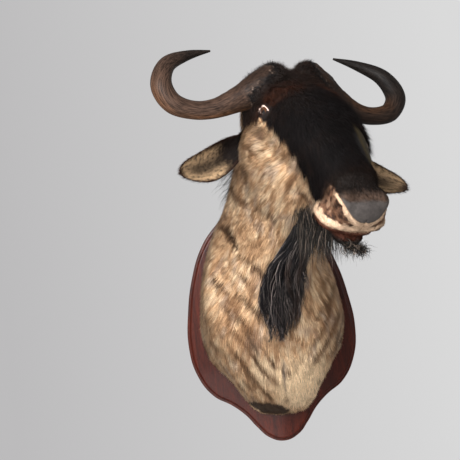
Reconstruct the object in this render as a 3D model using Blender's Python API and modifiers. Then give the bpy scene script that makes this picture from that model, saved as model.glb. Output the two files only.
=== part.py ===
"""Wildebeest shoulder mount on a shield-shaped mahogany plaque.

Metres, +Z up. The plaque's back face lies in the plane y = 0, its middle is the origin,
and the animal looks out towards -Y with its head turned and tilted to its own left (+X).
"""

import math

import bmesh
import bpy
from mathutils import Matrix, Vector

# Plaque
PLAQUE_HEIGHT = 0.656
BOARD_THICKNESS = 0.016
FIELD_THICKNESS = 0.010
FIELD_INSET = 0.007
FIELD_ROUND = 0.004
BOARD_ROUND = 0.002
OUTLINE_STEPS = 3
PLAQUE_THICKNESS = BOARD_THICKNESS + FIELD_THICKNESS
FIT_GAP = 0.0004
# Sides of a small round hole or screw
ROUND_SIDES = 12

# Keyhole hanger let into the plaque's back
HANGER_Z = 0.215
HANGER_WIDTH = 0.022
HANGER_HEIGHT = 0.060
HANGER_THICKNESS = 0.002
POCKET_DEPTH = 0.010
NAIL_HEAD_RADIUS = 0.0055
NAIL_SHANK_RADIUS = 0.0030
POCKET_WIDTH = 3 * NAIL_HEAD_RADIUS
POCKET_HEIGHT = HANGER_HEIGHT / 2
ENTRY_Z = HANGER_Z - 0.008
SLOT_LENGTH = 0.014
SCREW_SPACING = 0.046
SCREW_RADIUS = 0.0032
SCREW_LENGTH = 0.013
PILOT_DEPTH = SCREW_LENGTH + 0.002

# Head: the notch between the horn bosses is its own origin
POLL = Vector((0.1135, -0.380, 0.608))
HEAD_YAW = math.radians(15.2)
HEAD_PITCH = math.radians(37.3)
HEAD_ROLL = math.radians(8.2)
EYE_RADIUS = 0.0185
EYE_FLATNESS = 0.92
EYE_SEAT = (0.094, 0.0755, -0.060)

# Horns
HORN_SIDES = 14
HORN_RINGS = 26
# The left horn leaves the poll a little higher than the right one
HORN_BASE_LIFT = {1: 0.011, -1: 0.0}

SHARP_ANGLE = math.radians(40)

# Hide surface
HIDE_VOXEL = 0.0050
HIDE_SMOOTHING = 3
HIDE_TRIANGLE_SHARE = 0.033

# Ring resolution of the lofts that the hide is fused from
BODY_SIDES = 36
LOCK_SIDES = 8
LOCK_RINGS = 10
LOCK_TIP_SHARE = 0.40


def clear_scene():
    for old in list(bpy.data.objects):
        bpy.data.objects.remove(old)


def new_collection(name):
    made = bpy.data.collections.new(name)
    bpy.context.scene.collection.children.link(made)
    return made


def finish(name, colour, roughness, metallic=0.0):
    """A Principled material of one colour, given as linear red, green and blue."""
    made = bpy.data.materials.new(name)
    made.use_nodes = True
    shader = made.node_tree.nodes["Principled BSDF"]
    shader.inputs["Base Color"].default_value = (*colour, 1.0)
    shader.inputs["Roughness"].default_value = roughness
    shader.inputs["Metallic"].default_value = metallic
    made.diffuse_color = (*colour, 1.0)
    return made


def add_mesh(name, bm, collection, material=None):
    """Turns a bmesh into a named object in a collection."""
    bmesh.ops.recalc_face_normals(bm, faces=bm.faces)
    mesh = bpy.data.meshes.new(name)
    bm.to_mesh(mesh)
    bm.free()
    if material:
        mesh.materials.append(material)
    made = bpy.data.objects.new(name, mesh)
    collection.objects.link(made)
    return made


def as_cutter(obj):
    obj.hide_render = True
    obj.display_type = "WIRE"
    return obj


def boolean(obj, other, operation):
    made = obj.modifiers.new(f"{operation.lower()} {other.name}", "BOOLEAN")
    made.operation = operation
    made.object = other


def catmull_rom(values, t):
    """A smooth curve through a list of tuples; t runs from 0 at the first to 1 at the last."""
    spans = len(values) - 1
    at = min(max(t, 0.0), 1.0) * spans
    i = min(int(at), spans - 1)
    f = at - i
    p = [values[min(max(i + k, 0), spans)] for k in (-1, 0, 1, 2)]
    return tuple(
        0.5 * (2 * b + (c - a) * f + (2 * a - 5 * b + 4 * c - d) * f * f + (3 * b - a - 3 * c + d) * f**3)
        for a, b, c, d in zip(*p)
    )


def loft(bm, rings):
    """Skins closed rings of equal length and closes both ends with fans."""
    verts = [[bm.verts.new(p) for p in ring] for ring in rings]
    count = len(rings[0])
    for low, high in zip(verts, verts[1:]):
        for i in range(count):
            j = (i + 1) % count
            bm.faces.new((low[i], low[j], high[j], high[i]))
    for ring in (verts[0], verts[-1]):
        centre = bm.verts.new(sum((v.co for v in ring), Vector()) / count)
        for i in range(count):
            bm.faces.new((centre, ring[i], ring[(i + 1) % count]))


def head_axes():
    """Columns: forward along the face, the animal's left, up out of the nose bridge."""
    level_left = Vector((math.cos(HEAD_YAW), math.sin(HEAD_YAW), 0.0))
    forward = Vector(
        (
            math.sin(HEAD_YAW) * math.cos(HEAD_PITCH),
            -math.cos(HEAD_YAW) * math.cos(HEAD_PITCH),
            -math.sin(HEAD_PITCH),
        )
    )
    level_up = forward.cross(level_left)
    left = level_left * math.cos(HEAD_ROLL) - level_up * math.sin(HEAD_ROLL)
    up = forward.cross(left)
    return forward, left, up


FORWARD, LEFT, UP = head_axes()


def head_point(along, left, up):
    """A point given in the head's own axes, in the object's frame."""
    return POLL + FORWARD * along + LEFT * left + UP * up


# Outline of one side of the shield, from its crown to its foot: distance out, height
SHIELD_SIDE = (
    (0.0620, 0.3110),
    (0.1160, 0.2684),
    (0.1600, 0.2156),
    (0.1960, 0.1320),
    (0.2165, 0.0460),
    (0.2258, -0.0470),
    (0.2127, -0.1240),
    (0.1760, -0.1850),
    (0.1275, -0.2184),
    (0.0945, -0.2490),
    (0.0690, -0.2830),
    (0.0400, -0.3140),
)


def shield_slab(name, thickness, back, inset, edge_round, collection):
    """A flat outline curve, extruded, standing upright with its back at y = -back."""
    data = bpy.data.curves.new(name, "CURVE")
    data.dimensions = "2D"
    data.fill_mode = "BOTH"
    data.resolution_u = OUTLINE_STEPS
    data.extrude = thickness / 2 - edge_round
    data.offset = -inset
    data.bevel_depth = edge_round
    data.bevel_resolution = 1
    crown = (0.0, PLAQUE_HEIGHT / 2)
    foot = (0.0, -PLAQUE_HEIGHT / 2)
    left_side = [(-x, z) for x, z in reversed(SHIELD_SIDE)]
    outline = [crown, *SHIELD_SIDE, foot, *left_side]
    spline = data.splines.new("BEZIER")
    spline.bezier_points.add(len(outline) - 1)
    for point, (x, z) in zip(spline.bezier_points, outline):
        point.co = (x, z, 0.0)
        point.handle_left_type = point.handle_right_type = "AUTO"
    spline.use_cyclic_u = True
    curve = bpy.data.objects.new(name, data)
    collection.objects.link(curve)
    curve.rotation_euler = (math.pi / 2, 0.0, 0.0)
    curve.location = (0.0, -back - thickness / 2, 0.0)
    bpy.context.view_layer.update()
    graph = bpy.context.evaluated_depsgraph_get()
    mesh = bpy.data.meshes.new_from_object(curve.evaluated_get(graph))
    place = curve.matrix_world.copy()
    bpy.data.objects.remove(curve)
    bm = bmesh.new()
    bm.from_mesh(mesh)
    bmesh.ops.remove_doubles(bm, verts=bm.verts, dist=0.00005)
    bm.transform(place)
    return add_mesh(name, bm, collection)


def build_plaque(parts, cutters, mahogany):
    """Board with a raised, rounded field, and a pocket in its back for the hanger."""
    plaque = shield_slab("plaque", BOARD_THICKNESS, 0.0, 0.0, BOARD_ROUND, parts)
    field = shield_slab(
        "plaque_field",
        FIELD_THICKNESS + BOARD_THICKNESS / 2,
        BOARD_THICKNESS / 2,
        FIELD_INSET,
        FIELD_ROUND,
        cutters,
    )
    boolean(plaque, as_cutter(field), "UNION")
    recess = box_cutter(
        "hanger_recess",
        (HANGER_WIDTH + 2 * FIT_GAP, 2 * HANGER_THICKNESS + 2 * FIT_GAP, HANGER_HEIGHT + 2 * FIT_GAP),
        (0.0, 0.0, HANGER_Z),
        cutters,
    )
    boolean(plaque, recess, "DIFFERENCE")
    pocket = box_cutter(
        "nail_pocket",
        (POCKET_WIDTH, 2 * POCKET_DEPTH, POCKET_HEIGHT),
        (0.0, 0.0, HANGER_Z),
        cutters,
    )
    boolean(plaque, pocket, "DIFFERENCE")
    for side in (1, -1):
        place = (0.0, 0.0, HANGER_Z + side * SCREW_SPACING / 2)
        pilot = cylinder_cutter(f"pilot_{side}", SCREW_RADIUS, 2 * PILOT_DEPTH, place, cutters)
        boolean(plaque, pilot, "DIFFERENCE")
    plaque.data.materials.append(mahogany)
    return plaque


def box_cutter(name, size, centre, collection):
    bm = bmesh.new()
    bmesh.ops.create_cube(bm, size=1.0)
    bmesh.ops.scale(bm, verts=bm.verts, vec=size)
    bmesh.ops.translate(bm, verts=bm.verts, vec=centre)
    return as_cutter(add_mesh(name, bm, collection))


def cylinder_cutter(name, radius, depth, centre, collection):
    """A round cutter whose axis is the object's Y."""
    bm = bmesh.new()
    bmesh.ops.create_cone(
        bm,
        cap_ends=True,
        segments=ROUND_SIDES,
        radius1=radius,
        radius2=radius,
        depth=depth,
        matrix=Matrix.Translation(centre) @ Matrix.Rotation(math.pi / 2, 4, "X"),
    )
    return as_cutter(add_mesh(name, bm, collection))


def build_hanger(parts, cutters, steel):
    """Steel keyhole plate, flush with the plaque's back, and its two screws."""
    bm = bmesh.new()
    bmesh.ops.create_cube(bm, size=1.0)
    bmesh.ops.scale(bm, verts=bm.verts, vec=(HANGER_WIDTH, HANGER_THICKNESS, HANGER_HEIGHT))
    bmesh.ops.translate(bm, verts=bm.verts, vec=(0.0, -HANGER_THICKNESS / 2, HANGER_Z))
    plate = add_mesh("hanger_plate", bm, parts, steel)
    through = 4 * HANGER_THICKNESS
    entry = cylinder_cutter("nail_entry", NAIL_HEAD_RADIUS, through, (0.0, 0.0, ENTRY_Z), cutters)
    boolean(plate, entry, "DIFFERENCE")
    slot = box_cutter(
        "nail_slot",
        (2 * NAIL_SHANK_RADIUS, through, SLOT_LENGTH),
        (0.0, 0.0, ENTRY_Z + SLOT_LENGTH / 2),
        cutters,
    )
    boolean(plate, slot, "DIFFERENCE")
    for label, side in (("top", 1), ("bottom", -1)):
        z = HANGER_Z + side * SCREW_SPACING / 2
        hole = cylinder_cutter(f"screw_hole_{label}", SCREW_RADIUS, through, (0.0, 0.0, z), cutters)
        boolean(plate, hole, "DIFFERENCE")
        bm = bmesh.new()
        bmesh.ops.create_cone(
            bm,
            cap_ends=True,
            segments=ROUND_SIDES,
            radius1=SCREW_RADIUS - FIT_GAP,
            radius2=SCREW_RADIUS - FIT_GAP,
            depth=SCREW_LENGTH,
            matrix=Matrix.Translation((0.0, -SCREW_LENGTH / 2, z)) @ Matrix.Rotation(math.pi / 2, 4, "X"),
        )
        add_mesh(f"hanger_screw_{label}", bm, parts, steel)


# The horn's centre line in the head's axes, from the boss near the middle of the head to
# the tip: forward, out to the side, up, then half its depth and half its thickness there.
HORN_LINE = (
    (0.002, 0.012, -0.040, 0.034, 0.038),
    (0.006, 0.040, -0.045, 0.047, 0.051),
    (0.012, 0.078, -0.056, 0.041, 0.042),
    (0.018, 0.122, -0.077, 0.030, 0.030),
    (0.027, 0.179, -0.100, 0.023, 0.023),
    (0.026, 0.230, -0.107, 0.021, 0.0215),
    (0.013, 0.278, -0.098, 0.0230, 0.0240),
    (-0.020, 0.301, -0.070, 0.0240, 0.0250),
    (-0.072, 0.279, -0.045, 0.0195, 0.0200),
    (-0.108, 0.223, -0.035, 0.0110, 0.0120),
    (-0.128, 0.162, -0.029, 0.0025, 0.0025),
)
# The horn's first ring is drawn in to this share of its size round this point
BOSS_END = (0.004, 0.005, -0.048)
BOSS_END_SHARE = 0.55
# Share of the horn's length over which the base lift dies away
LIFT_REACH = 0.6


def horn_rings(side, extra=0.0):
    """Rings round the centre line; side is +1 for the animal's left horn."""
    rings = []
    for k in range(HORN_RINGS + 1):
        t = k / HORN_RINGS
        along, out, up, deep, thick = catmull_rom(HORN_LINE, t)
        ahead = catmull_rom(HORN_LINE, min(t + 0.01, 1.0))
        behind = catmull_rom(HORN_LINE, max(t - 0.01, 0.0))
        tangent = (Vector(ahead[:3]) - Vector(behind[:3])).normalized()
        tangent.y *= side
        across = tangent.cross(Vector((1.0, 0.0, 0.3)).normalized()).normalized()
        other = tangent.cross(across).normalized()
        lift = HORN_BASE_LIFT[side] * math.sqrt(max(0.0, 1 - t / LIFT_REACH))
        centre = Vector((along, out * side, up + lift))
        ring = []
        for i in range(HORN_SIDES):
            angle = 2 * math.pi * i / HORN_SIDES
            offset = across * (thick + extra) * math.cos(angle) + other * (deep + extra) * math.sin(angle)
            ring.append(head_point(*(centre + offset)))
        rings.append(ring)
    along, out, up = BOSS_END
    end = head_point(along, out * side, up)
    middle = sum(rings[0], Vector()) / HORN_SIDES
    rounded = [end + (p - middle) * BOSS_END_SHARE for p in rings[0]]
    return [rounded, *rings]


def build_horn(name, side, parts, material):
    bm = bmesh.new()
    loft(bm, horn_rings(side))
    return add_mesh(name, bm, parts, material)


def horn_socket(name, side, cutters):
    """The room that the horn's base needs in the hide."""
    bm = bmesh.new()
    loft(bm, horn_rings(side, FIT_GAP))
    return as_cutter(add_mesh(name, bm, cutters))


# Shoulder and neck, from the plaque up to the skull. Each section runs from a point on the
# nape to one on the throat: nape y and z, throat y and z, middle x, half width, and how much
# wider it is on the throat's side.
NECK_SECTIONS = (
    (-0.020, 0.300, -0.020, -0.256, 0.003, 0.186, 0.00),
    (-0.030, 0.305, -0.075, -0.242, 0.003, 0.186, 0.00),
    (-0.055, 0.325, -0.165, -0.202, 0.002, 0.179, 0.15),
    (-0.090, 0.362, -0.250, -0.135, 0.000, 0.161, 0.30),
    (-0.130, 0.405, -0.305, -0.045, -0.003, 0.133, 0.60),
    (-0.172, 0.450, -0.345, 0.060, 0.012, 0.102, 0.34),
    (-0.210, 0.492, -0.385, 0.150, 0.043, 0.106, 0.14),
    (-0.240, 0.530, -0.435, 0.220, 0.064, 0.105, 0.00),
    (-0.270, 0.556, -0.500, 0.270, 0.082, 0.106, 0.00),
    (-0.320, 0.560, -0.550, 0.312, 0.100, 0.094, 0.00),
    (-0.380, 0.545, -0.595, 0.350, 0.124, 0.062, 0.00),
)
NECK_LEAN = 0.122
NECK_RINGS = 36
# The neck starts to turn with the head this share of the way up, and the cape's edge blends
# into the round neck over this many sections
NECK_TURN_START = 0.35
CAPE_SPANS = 2

# The cape's cut edge on the plaque: share of the way from its middle up or down, and share
# of the half width there
CAPE_EDGE = (
    (-1.00, 0.00),
    (-0.96, 0.36),
    (-0.88, 0.56),
    (-0.60, 0.74),
    (-0.19, 0.91),
    (0.14, 1.00),
    (0.30, 0.975),
    (0.43, 0.90),
    (0.67, 0.60),
    (0.88, 0.45),
    (0.97, 0.30),
    (1.00, 0.00),
)


def cape_width(share):
    """Half width of the cape's edge, as a share, at a share of its height."""
    for (low, wide), (high, next_wide) in zip(CAPE_EDGE, CAPE_EDGE[1:]):
        if share <= high:
            return wide + (next_wide - wide) * (share - low) / (high - low)
    return 0.0


def neck_rings():
    rings = []
    sections = len(NECK_SECTIONS) - 1
    for k in range(NECK_RINGS + 1):
        t = k / NECK_RINGS
        nape_y, nape_z, throat_y, throat_z, middle, half, egg = catmull_rom(NECK_SECTIONS, t)
        nape = Vector((middle, nape_y, nape_z))
        throat = Vector((middle, throat_y, throat_z))
        centre = (nape + throat) / 2
        reach = (throat - nape) / 2
        turn = max(0.0, t - NECK_TURN_START) / (1 - NECK_TURN_START) * HEAD_YAW
        side = Vector((math.cos(turn), math.sin(turn), -NECK_LEAN * t))
        cape_share = min(1.0, max(0.0, 1 - (t * sections - 1) / CAPE_SPANS))
        ring = []
        for i in range(BODY_SIDES):
            angle = 2 * math.pi * i / BODY_SIDES
            c, s = math.cos(angle), math.sin(angle)
            round_width = s * (1 + egg * c)
            edge_width = math.copysign(cape_width(c), s)
            width = half * (round_width * (1 - cape_share) + edge_width * cape_share)
            ring.append(centre + reach * c + side * width)
        rings.append(ring)
    return rings


# Skull, face and muzzle: distance from the poll, top, bottom, half width near the top,
# half width near the bottom, and a power that squares the section below 1. The last
# sections are the blunt nose.
HEAD_SECTIONS = (
    (-0.085, -0.085, -0.175, 0.040, 0.040, 1.00),
    (-0.060, -0.050, -0.205, 0.070, 0.068, 1.00),
    (-0.020, -0.022, -0.222, 0.092, 0.092, 1.00),
    (0.030, -0.004, -0.232, 0.098, 0.100, 1.00),
    (0.080, 0.006, -0.230, 0.096, 0.100, 1.00),
    (0.130, 0.012, -0.220, 0.110, 0.096, 0.98),
    (0.185, 0.014, -0.206, 0.112, 0.088, 0.92),
    (0.245, 0.011, -0.190, 0.103, 0.076, 0.86),
    (0.305, 0.004, -0.170, 0.085, 0.062, 0.82),
    (0.360, -0.006, -0.158, 0.066, 0.055, 0.80),
    (0.405, -0.018, -0.150, 0.056, 0.052, 0.80),
    (0.440, -0.034, -0.146, 0.055, 0.052, 0.80),
    (0.470, -0.050, -0.140, 0.058, 0.050, 0.80),
    (0.488, -0.062, -0.130, 0.050, 0.044, 0.80),
)
HEAD_RINGS = 40


def head_rings():
    rings = []
    for k in range(HEAD_RINGS + 1):
        along, top, bottom, high, low, squareness = catmull_rom(HEAD_SECTIONS, k / HEAD_RINGS)
        middle = (top + bottom) / 2
        reach = (top - bottom) / 2
        ring = []
        for i in range(BODY_SIDES):
            angle = 2 * math.pi * i / BODY_SIDES
            c, s = math.cos(angle), math.sin(angle)
            width = low + (high - low) * (0.5 + 0.5 * c)
            out = width * math.copysign(abs(s) ** squareness, s)
            rise = reach * math.copysign(abs(c) ** squareness, c)
            ring.append(head_point(along, out, middle + rise))
        rings.append(ring)
    return rings


def blob(bm, centre, radii):
    """An ellipsoid in the head's axes, for a muscle, brow or lip."""
    turn = Matrix((FORWARD, LEFT, UP)).transposed().to_4x4()
    place = Matrix.Translation(head_point(*centre)) @ turn @ Matrix.Diagonal((*radii, 1.0))
    bmesh.ops.create_uvsphere(bm, u_segments=20, v_segments=12, radius=1.0, matrix=place)


def face_forms(bm):
    """Brows, cheeks, nostril wings and lips, the same on both sides of the face."""
    for side in (1, -1):
        blob(bm, (0.085, 0.058 * side, -0.034), (0.034, 0.024, 0.022))
        blob(bm, (0.100, 0.052 * side, -0.170), (0.140, 0.050, 0.070))
        blob(bm, (0.455, 0.036 * side, -0.068), (0.034, 0.024, 0.026))
        blob(bm, (0.430, 0.044 * side, -0.118), (0.050, 0.032, 0.024))
    blob(bm, (0.470, 0.0, -0.085), (0.030, 0.055, 0.036))
    blob(bm, (0.440, 0.0, -0.156), (0.038, 0.036, 0.020))


# Ears in the head's axes: root, tip, half width, direction that the cup opens towards.
# The left ear was set a little further out than the right one.
EAR_ROOT = (0.030, 0.080, -0.178)
EAR_TIPS = {1: (0.158, 0.302, -0.226), -1: (0.124, -0.266, -0.217)}
EAR_HALF_WIDTH = 0.038
EAR_FACE = (0.77, 0.30, 0.50)
EAR_WALL = 0.0070
# The ear's lower edge bellies out by this share of its half width, and its upper edge is
# straighter by as much
EAR_BELLY = 0.34
EAR_CUP = 0.62
EAR_RINGS = 18
EAR_POINTS = 9


def ear_rings(side):
    """A pointed leaf rolled into a cup: narrow at its root, widest at two fifths, then a tip."""
    root = Vector((EAR_ROOT[0], EAR_ROOT[1] * side, EAR_ROOT[2]))
    axis = Vector(EAR_TIPS[side]) - root
    face = Vector((EAR_FACE[0], EAR_FACE[1] * side, EAR_FACE[2]))
    face = (face - axis * face.dot(axis) / axis.length_squared).normalized()
    down = axis.normalized().cross(face).normalized()
    if down.z > 0:
        down.negate()
    rings = []
    for k in range(EAR_RINGS + 1):
        t = k / EAR_RINGS
        leaf = math.sin(math.pi * min(1.0, 0.12 + 0.88 * t) ** 1.35) ** 0.52
        half = EAR_HALF_WIDTH * max(leaf, 0.70 * (1 - t) ** 2, 0.10)
        cup = EAR_CUP * half * (1 - 0.35 * t)
        wall = EAR_WALL * (1 + 1.6 * (1 - t) ** 4)
        middle = root + axis * t + down * half * EAR_BELLY * math.sin(math.pi * t**1.5)
        inner, outer = [], []
        for i in range(EAR_POINTS):
            u = -1 + 2 * i / (EAR_POINTS - 1)
            point = middle + down * half * u + face * cup * (u * u - 1)
            inner.append(point + face * wall / 2)
            outer.append(point - face * wall / 2)
        ring = inner + outer[::-1]
        rings.append([head_point(*p) for p in ring])
    return rings


def tube(bm, path, radius):
    """A round tube along a list of points that tapers towards its end."""
    rings = []
    last = len(path) - 1
    for k, point in enumerate(path):
        way = (path[min(k + 1, last)] - path[max(k - 1, 0)]).normalized()
        side = way.cross(Vector((0.3, 1.0, 0.2))).normalized()
        other = way.cross(side)
        size = radius * (1 - (1 - LOCK_TIP_SHARE) * (k / last) ** 1.5)
        ring = []
        for i in range(LOCK_SIDES):
            angle = 2 * math.pi * i / LOCK_SIDES
            ring.append(point + (side * math.cos(angle) + other * math.sin(angle)) * size)
        rings.append(ring)
    loft(bm, rings)


def lock(bm, root, heading, length, radius, sag, curl):
    """One lock of hair that leaves along heading and bends down and sideways as it goes."""
    step = length / (LOCK_RINGS - 1)
    path = [root.copy()]
    for k in range(1, LOCK_RINGS):
        t = k / (LOCK_RINGS - 1)
        way = (heading.normalized() + Vector((curl * t, 0.0, -sag * t))).normalized()
        path.append(path[-1] + way * step)
    tube(bm, path, radius)


def between(start, end, t):
    return Vector(start) * (1 - t) + Vector(end) * t


# Hair hangs straight down in the photograph, where the plaque leans a little
HANG = Vector((-0.122, 0.0, -0.993))

# The hanging beard's middle line, on its front, from the throat to its end, and its half
# width there. Its roots run down the throat behind it.
BEARD_LINE = (
    (0.092, -0.484, 0.272, 0.012),
    (0.080, -0.474, 0.216, 0.026),
    (0.043, -0.448, 0.150, 0.040),
    (0.019, -0.416, 0.062, 0.041),
    (0.014, -0.388, -0.018, 0.014),
)
BEARD_ROWS = 7
BEARD_COLUMNS = 5
BEARD_DEPTH = 0.062
BEARD_LOCK_RADIUS = 0.0098
# Share of the beard's line down which its lock roots are spread
BEARD_ROOTS = 0.55


def throat_beard(bm):
    """Rows of locks that start down the throat and swing into one hanging tassel."""
    for row in range(BEARD_ROWS):
        for column in range(BEARD_COLUMNS):
            across = 2 * column / (BEARD_COLUMNS - 1) - 1
            start = BEARD_ROOTS * row / (BEARD_ROWS - 1)
            end = 1.0 - 0.10 * ((row + 2 * column) % 3)
            depth = BEARD_DEPTH * (1 - row / BEARD_ROWS)
            path = []
            for k in range(LOCK_RINGS):
                t = k / (LOCK_RINGS - 1)
                x, y, z, half = catmull_rom(BEARD_LINE, start + (end - start) * t)
                sunk = (BEARD_DEPTH - depth) * (1 - t) ** 0.7 + 0.014 * across * across
                path.append(Vector((x + across * half, y + sunk, z)))
            tube(bm, path, BEARD_LOCK_RADIUS)


MANE_TOP = (0.085, -0.270, 0.555)
MANE_FOOT = (-0.004, -0.050, 0.300)
MANE_ROWS = 14
MANE_LENGTH = 0.080
MANE_LOCK_RADIUS = 0.0125


def nape_mane(bm):
    """A row of locks from the poll to the plaque, falling to both sides of the nape."""
    for row in range(MANE_ROWS):
        root = between(MANE_TOP, MANE_FOOT, row / (MANE_ROWS - 1))
        side = 1 if row % 2 else -1
        heading = Vector((0.35 * side, 0.85, -0.05))
        length = MANE_LENGTH * (1 + 0.08 * (row % 3))
        lock(bm, root, heading, length, MANE_LOCK_RADIUS, sag=0.9, curl=0.30 * side)


CHIN_LOCKS = 8
CHIN_LENGTH = 0.036
CHIN_LOCK_RADIUS = 0.0095


def chin_beard(bm):
    """Short locks under the lower lip."""
    for i in range(CHIN_LOCKS):
        t = i / (CHIN_LOCKS - 1)
        root = head_point(0.455 - 0.090 * t, 0.020 * (-1) ** i, -0.155)
        heading = HANG + Vector((0.12 * (-1) ** i, 0.20 * t, 0.0))
        lock(bm, root, heading, CHIN_LENGTH * (1 + 0.16 * (i % 3)), CHIN_LOCK_RADIUS, sag=0.3, curl=0.2)


def build_hide(parts, cutters, material):
    """The tanned skin with its ears and hair, fused from overlapping forms."""
    bm = bmesh.new()
    loft(bm, neck_rings())
    loft(bm, head_rings())
    for side in (1, -1):
        loft(bm, ear_rings(side))
    face_forms(bm)
    throat_beard(bm)
    nape_mane(bm)
    chin_beard(bm)
    hide = add_mesh("hide", bm, parts, material)
    fuse = hide.modifiers.new("fuse", "REMESH")
    fuse.mode = "VOXEL"
    fuse.voxel_size = HIDE_VOXEL
    relax = hide.modifiers.new("relax", "SMOOTH")
    relax.factor = 0.5
    relax.iterations = HIDE_SMOOTHING
    thin = hide.modifiers.new("thin", "DECIMATE")
    thin.ratio = HIDE_TRIANGLE_SHARE
    room = 2 * PLAQUE_HEIGHT
    behind = box_cutter(
        "behind_hide", (room, room, room), (0.0, room / 2 - PLAQUE_THICKNESS - FIT_GAP, 0.0), cutters
    )
    boolean(hide, behind, "DIFFERENCE")
    for label, side in (("left", 1), ("right", -1)):
        boolean(hide, horn_socket(f"horn_socket_{label}", side, cutters), "DIFFERENCE")
        eye_socket = as_cutter(eye_ball(f"eye_socket_{label}", side, FIT_GAP, cutters))
        boolean(hide, eye_socket, "DIFFERENCE")
    return hide


def eye_ball(name, side, extra, collection, material=None):
    """A glass eye, a little flattened, set in the side of the face."""
    along, out, up = EYE_SEAT
    turn = Matrix((FORWARD, LEFT, UP)).transposed().to_4x4()
    flat = EYE_RADIUS * EYE_FLATNESS + extra
    radii = (EYE_RADIUS + extra, flat, flat)
    place = Matrix.Translation(head_point(along, out * side, up)) @ turn @ Matrix.Diagonal((*radii, 1.0))
    bm = bmesh.new()
    bmesh.ops.create_uvsphere(bm, u_segments=14, v_segments=8, radius=1.0, matrix=place)
    return add_mesh(name, bm, collection, material)


def main():
    clear_scene()
    parts = new_collection("wildebeest_shoulder_mount")
    cutters = new_collection("cutters")
    mahogany = finish("mahogany", (0.070, 0.014, 0.009), 0.30)
    hair = finish("brindled_hide", (0.340, 0.215, 0.110), 0.80)
    keratin = finish("horn_keratin", (0.085, 0.055, 0.040), 0.45)
    glass = finish("eye_glass", (0.045, 0.022, 0.010), 0.08)
    steel = finish("zinc_steel", (0.550, 0.540, 0.520), 0.35, 1.0)
    build_plaque(parts, cutters, mahogany)
    build_hanger(parts, cutters, steel)
    build_hide(parts, cutters, hair)
    for label, side in (("left", 1), ("right", -1)):
        build_horn(f"horn_{label}", side, parts, keratin)
        eye_ball(f"eye_{label}", side, 0.0, parts, glass)
    for made in parts.objects:
        made.data.shade_smooth()
        if made.name.startswith(("plaque", "hanger")):
            made.data.set_sharp_from_angle(angle=SHARP_ANGLE)


main()
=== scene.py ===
"""Looks of a wildebeest shoulder mount: haired hide, horns, glass eyes and a varnished plaque.

Metres, +Z up. The plaque's flat back lies in the plane y = 0 and the animal looks towards -Y.
"""

import math

import bmesh
import bpy
import numpy as np
from mathutils import Matrix, Vector, noise
from mathutils.kdtree import KDTree


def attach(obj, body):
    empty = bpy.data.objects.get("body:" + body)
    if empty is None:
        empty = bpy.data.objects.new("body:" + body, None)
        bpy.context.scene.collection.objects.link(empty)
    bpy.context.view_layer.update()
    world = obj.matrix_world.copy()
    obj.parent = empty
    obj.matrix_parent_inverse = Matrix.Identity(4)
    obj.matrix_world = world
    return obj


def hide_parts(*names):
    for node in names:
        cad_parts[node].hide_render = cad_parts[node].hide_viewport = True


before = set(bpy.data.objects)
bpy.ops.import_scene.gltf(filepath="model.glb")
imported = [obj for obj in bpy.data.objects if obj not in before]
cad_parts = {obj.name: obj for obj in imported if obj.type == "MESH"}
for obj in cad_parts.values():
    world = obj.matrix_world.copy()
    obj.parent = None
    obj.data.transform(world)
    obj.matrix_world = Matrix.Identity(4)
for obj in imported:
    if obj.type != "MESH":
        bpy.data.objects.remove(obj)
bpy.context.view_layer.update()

BODY = "root"

# Camera of the photograph: the picture's side and the focal length in pixels. The plaque leans
# a little in the picture, which is the camera's roll here.
PICTURE_SIDE = 460
FOCAL_PIXELS = 979
SENSOR = 36.0
CAMERA_PLACE = Vector((-0.0773, -2.65, 0.2528))
CAMERA_UP = Vector((0.1219, 0.0, 0.9925))

# Plaque
PLAQUE_HEIGHT = 0.656
PLAQUE_THICKNESS = 0.026
HANGER_Z = 0.215

# Head: the notch between the horn bosses is its own origin
POLL = np.array((0.1135, -0.380, 0.608))
HEAD_YAW = math.radians(15.2)
HEAD_PITCH = math.radians(37.3)
HEAD_ROLL = math.radians(8.2)
EYE_RADIUS = 0.0185
EYE_FLATNESS = 0.92

# The glass eye sits a little further out than its solid, so that the carved lids frame it
EYE_MIDDLE = (0.108, 0.0830, -0.060)
EYE_GAZE = np.array((0.35, 0.93, 0.10))
EYE_SLIT = np.array((0.85, 0.0, 0.52))
EYE_SLIT_HALF = (0.0175, 0.0080)
# The upper lid's edge: half length, rise and half width of its arc, which also place the painted highlight
# along it
LID_HALF_LENGTH = 0.031
LID_RISE = 0.0085
LID_HALF_WIDTH = 0.0009
EYE_REACH = 0.045

# Hide
SKIN_VOXEL = 0.0045
SKIN_SMOOTHING = 4
SKIN_GAP = 0.0004
CAPE_BACK = -PLAQUE_THICKNESS - SKIN_GAP


def linear(hex_colour):
    """An sRGB colour such as #b79a74 as linear red, green and blue."""
    parts = [int(hex_colour[i : i + 2], 16) / 255 for i in (1, 3, 5)]
    return [c / 12.92 if c <= 0.04045 else ((c + 0.055) / 1.055) ** 2.4 for c in parts]


def colours(*hexes):
    return [np.array(linear(h)) for h in hexes]


def smooth(low, high, x):
    """0 below low, 1 above high and an S between them; works backwards if low > high."""
    t = np.clip((np.asarray(x, float) - low) / (high - low), 0.0, 1.0)
    return t * t * (3 - 2 * t)


def mix(a, b, share):
    """Blends rows of numbers by a share for each row."""
    share = np.asarray(share, float)
    if share.ndim == 1 and np.ndim(b) >= 1 and np.shape(b)[-1] == 3:
        share = share[:, None]
    return a * (1 - share) + b * share


def unit(v):
    return v / np.maximum(np.linalg.norm(v, axis=-1, keepdims=True), 1e-9)


def rough(points, scale, octaves=3, shift=0.0):
    """Smooth noise from about -1 to 1 at each point; scale is in cycles a metre, or one for each axis."""
    at = np.asarray(points, float) * np.asarray(scale, float) + shift
    total = np.zeros(len(at))
    size = 1.0
    for _ in range(octaves):
        total += size * np.array([noise.noise(p) for p in at])
        at = at * 2.03 + 17.7
        size *= 0.5
    return total


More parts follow.
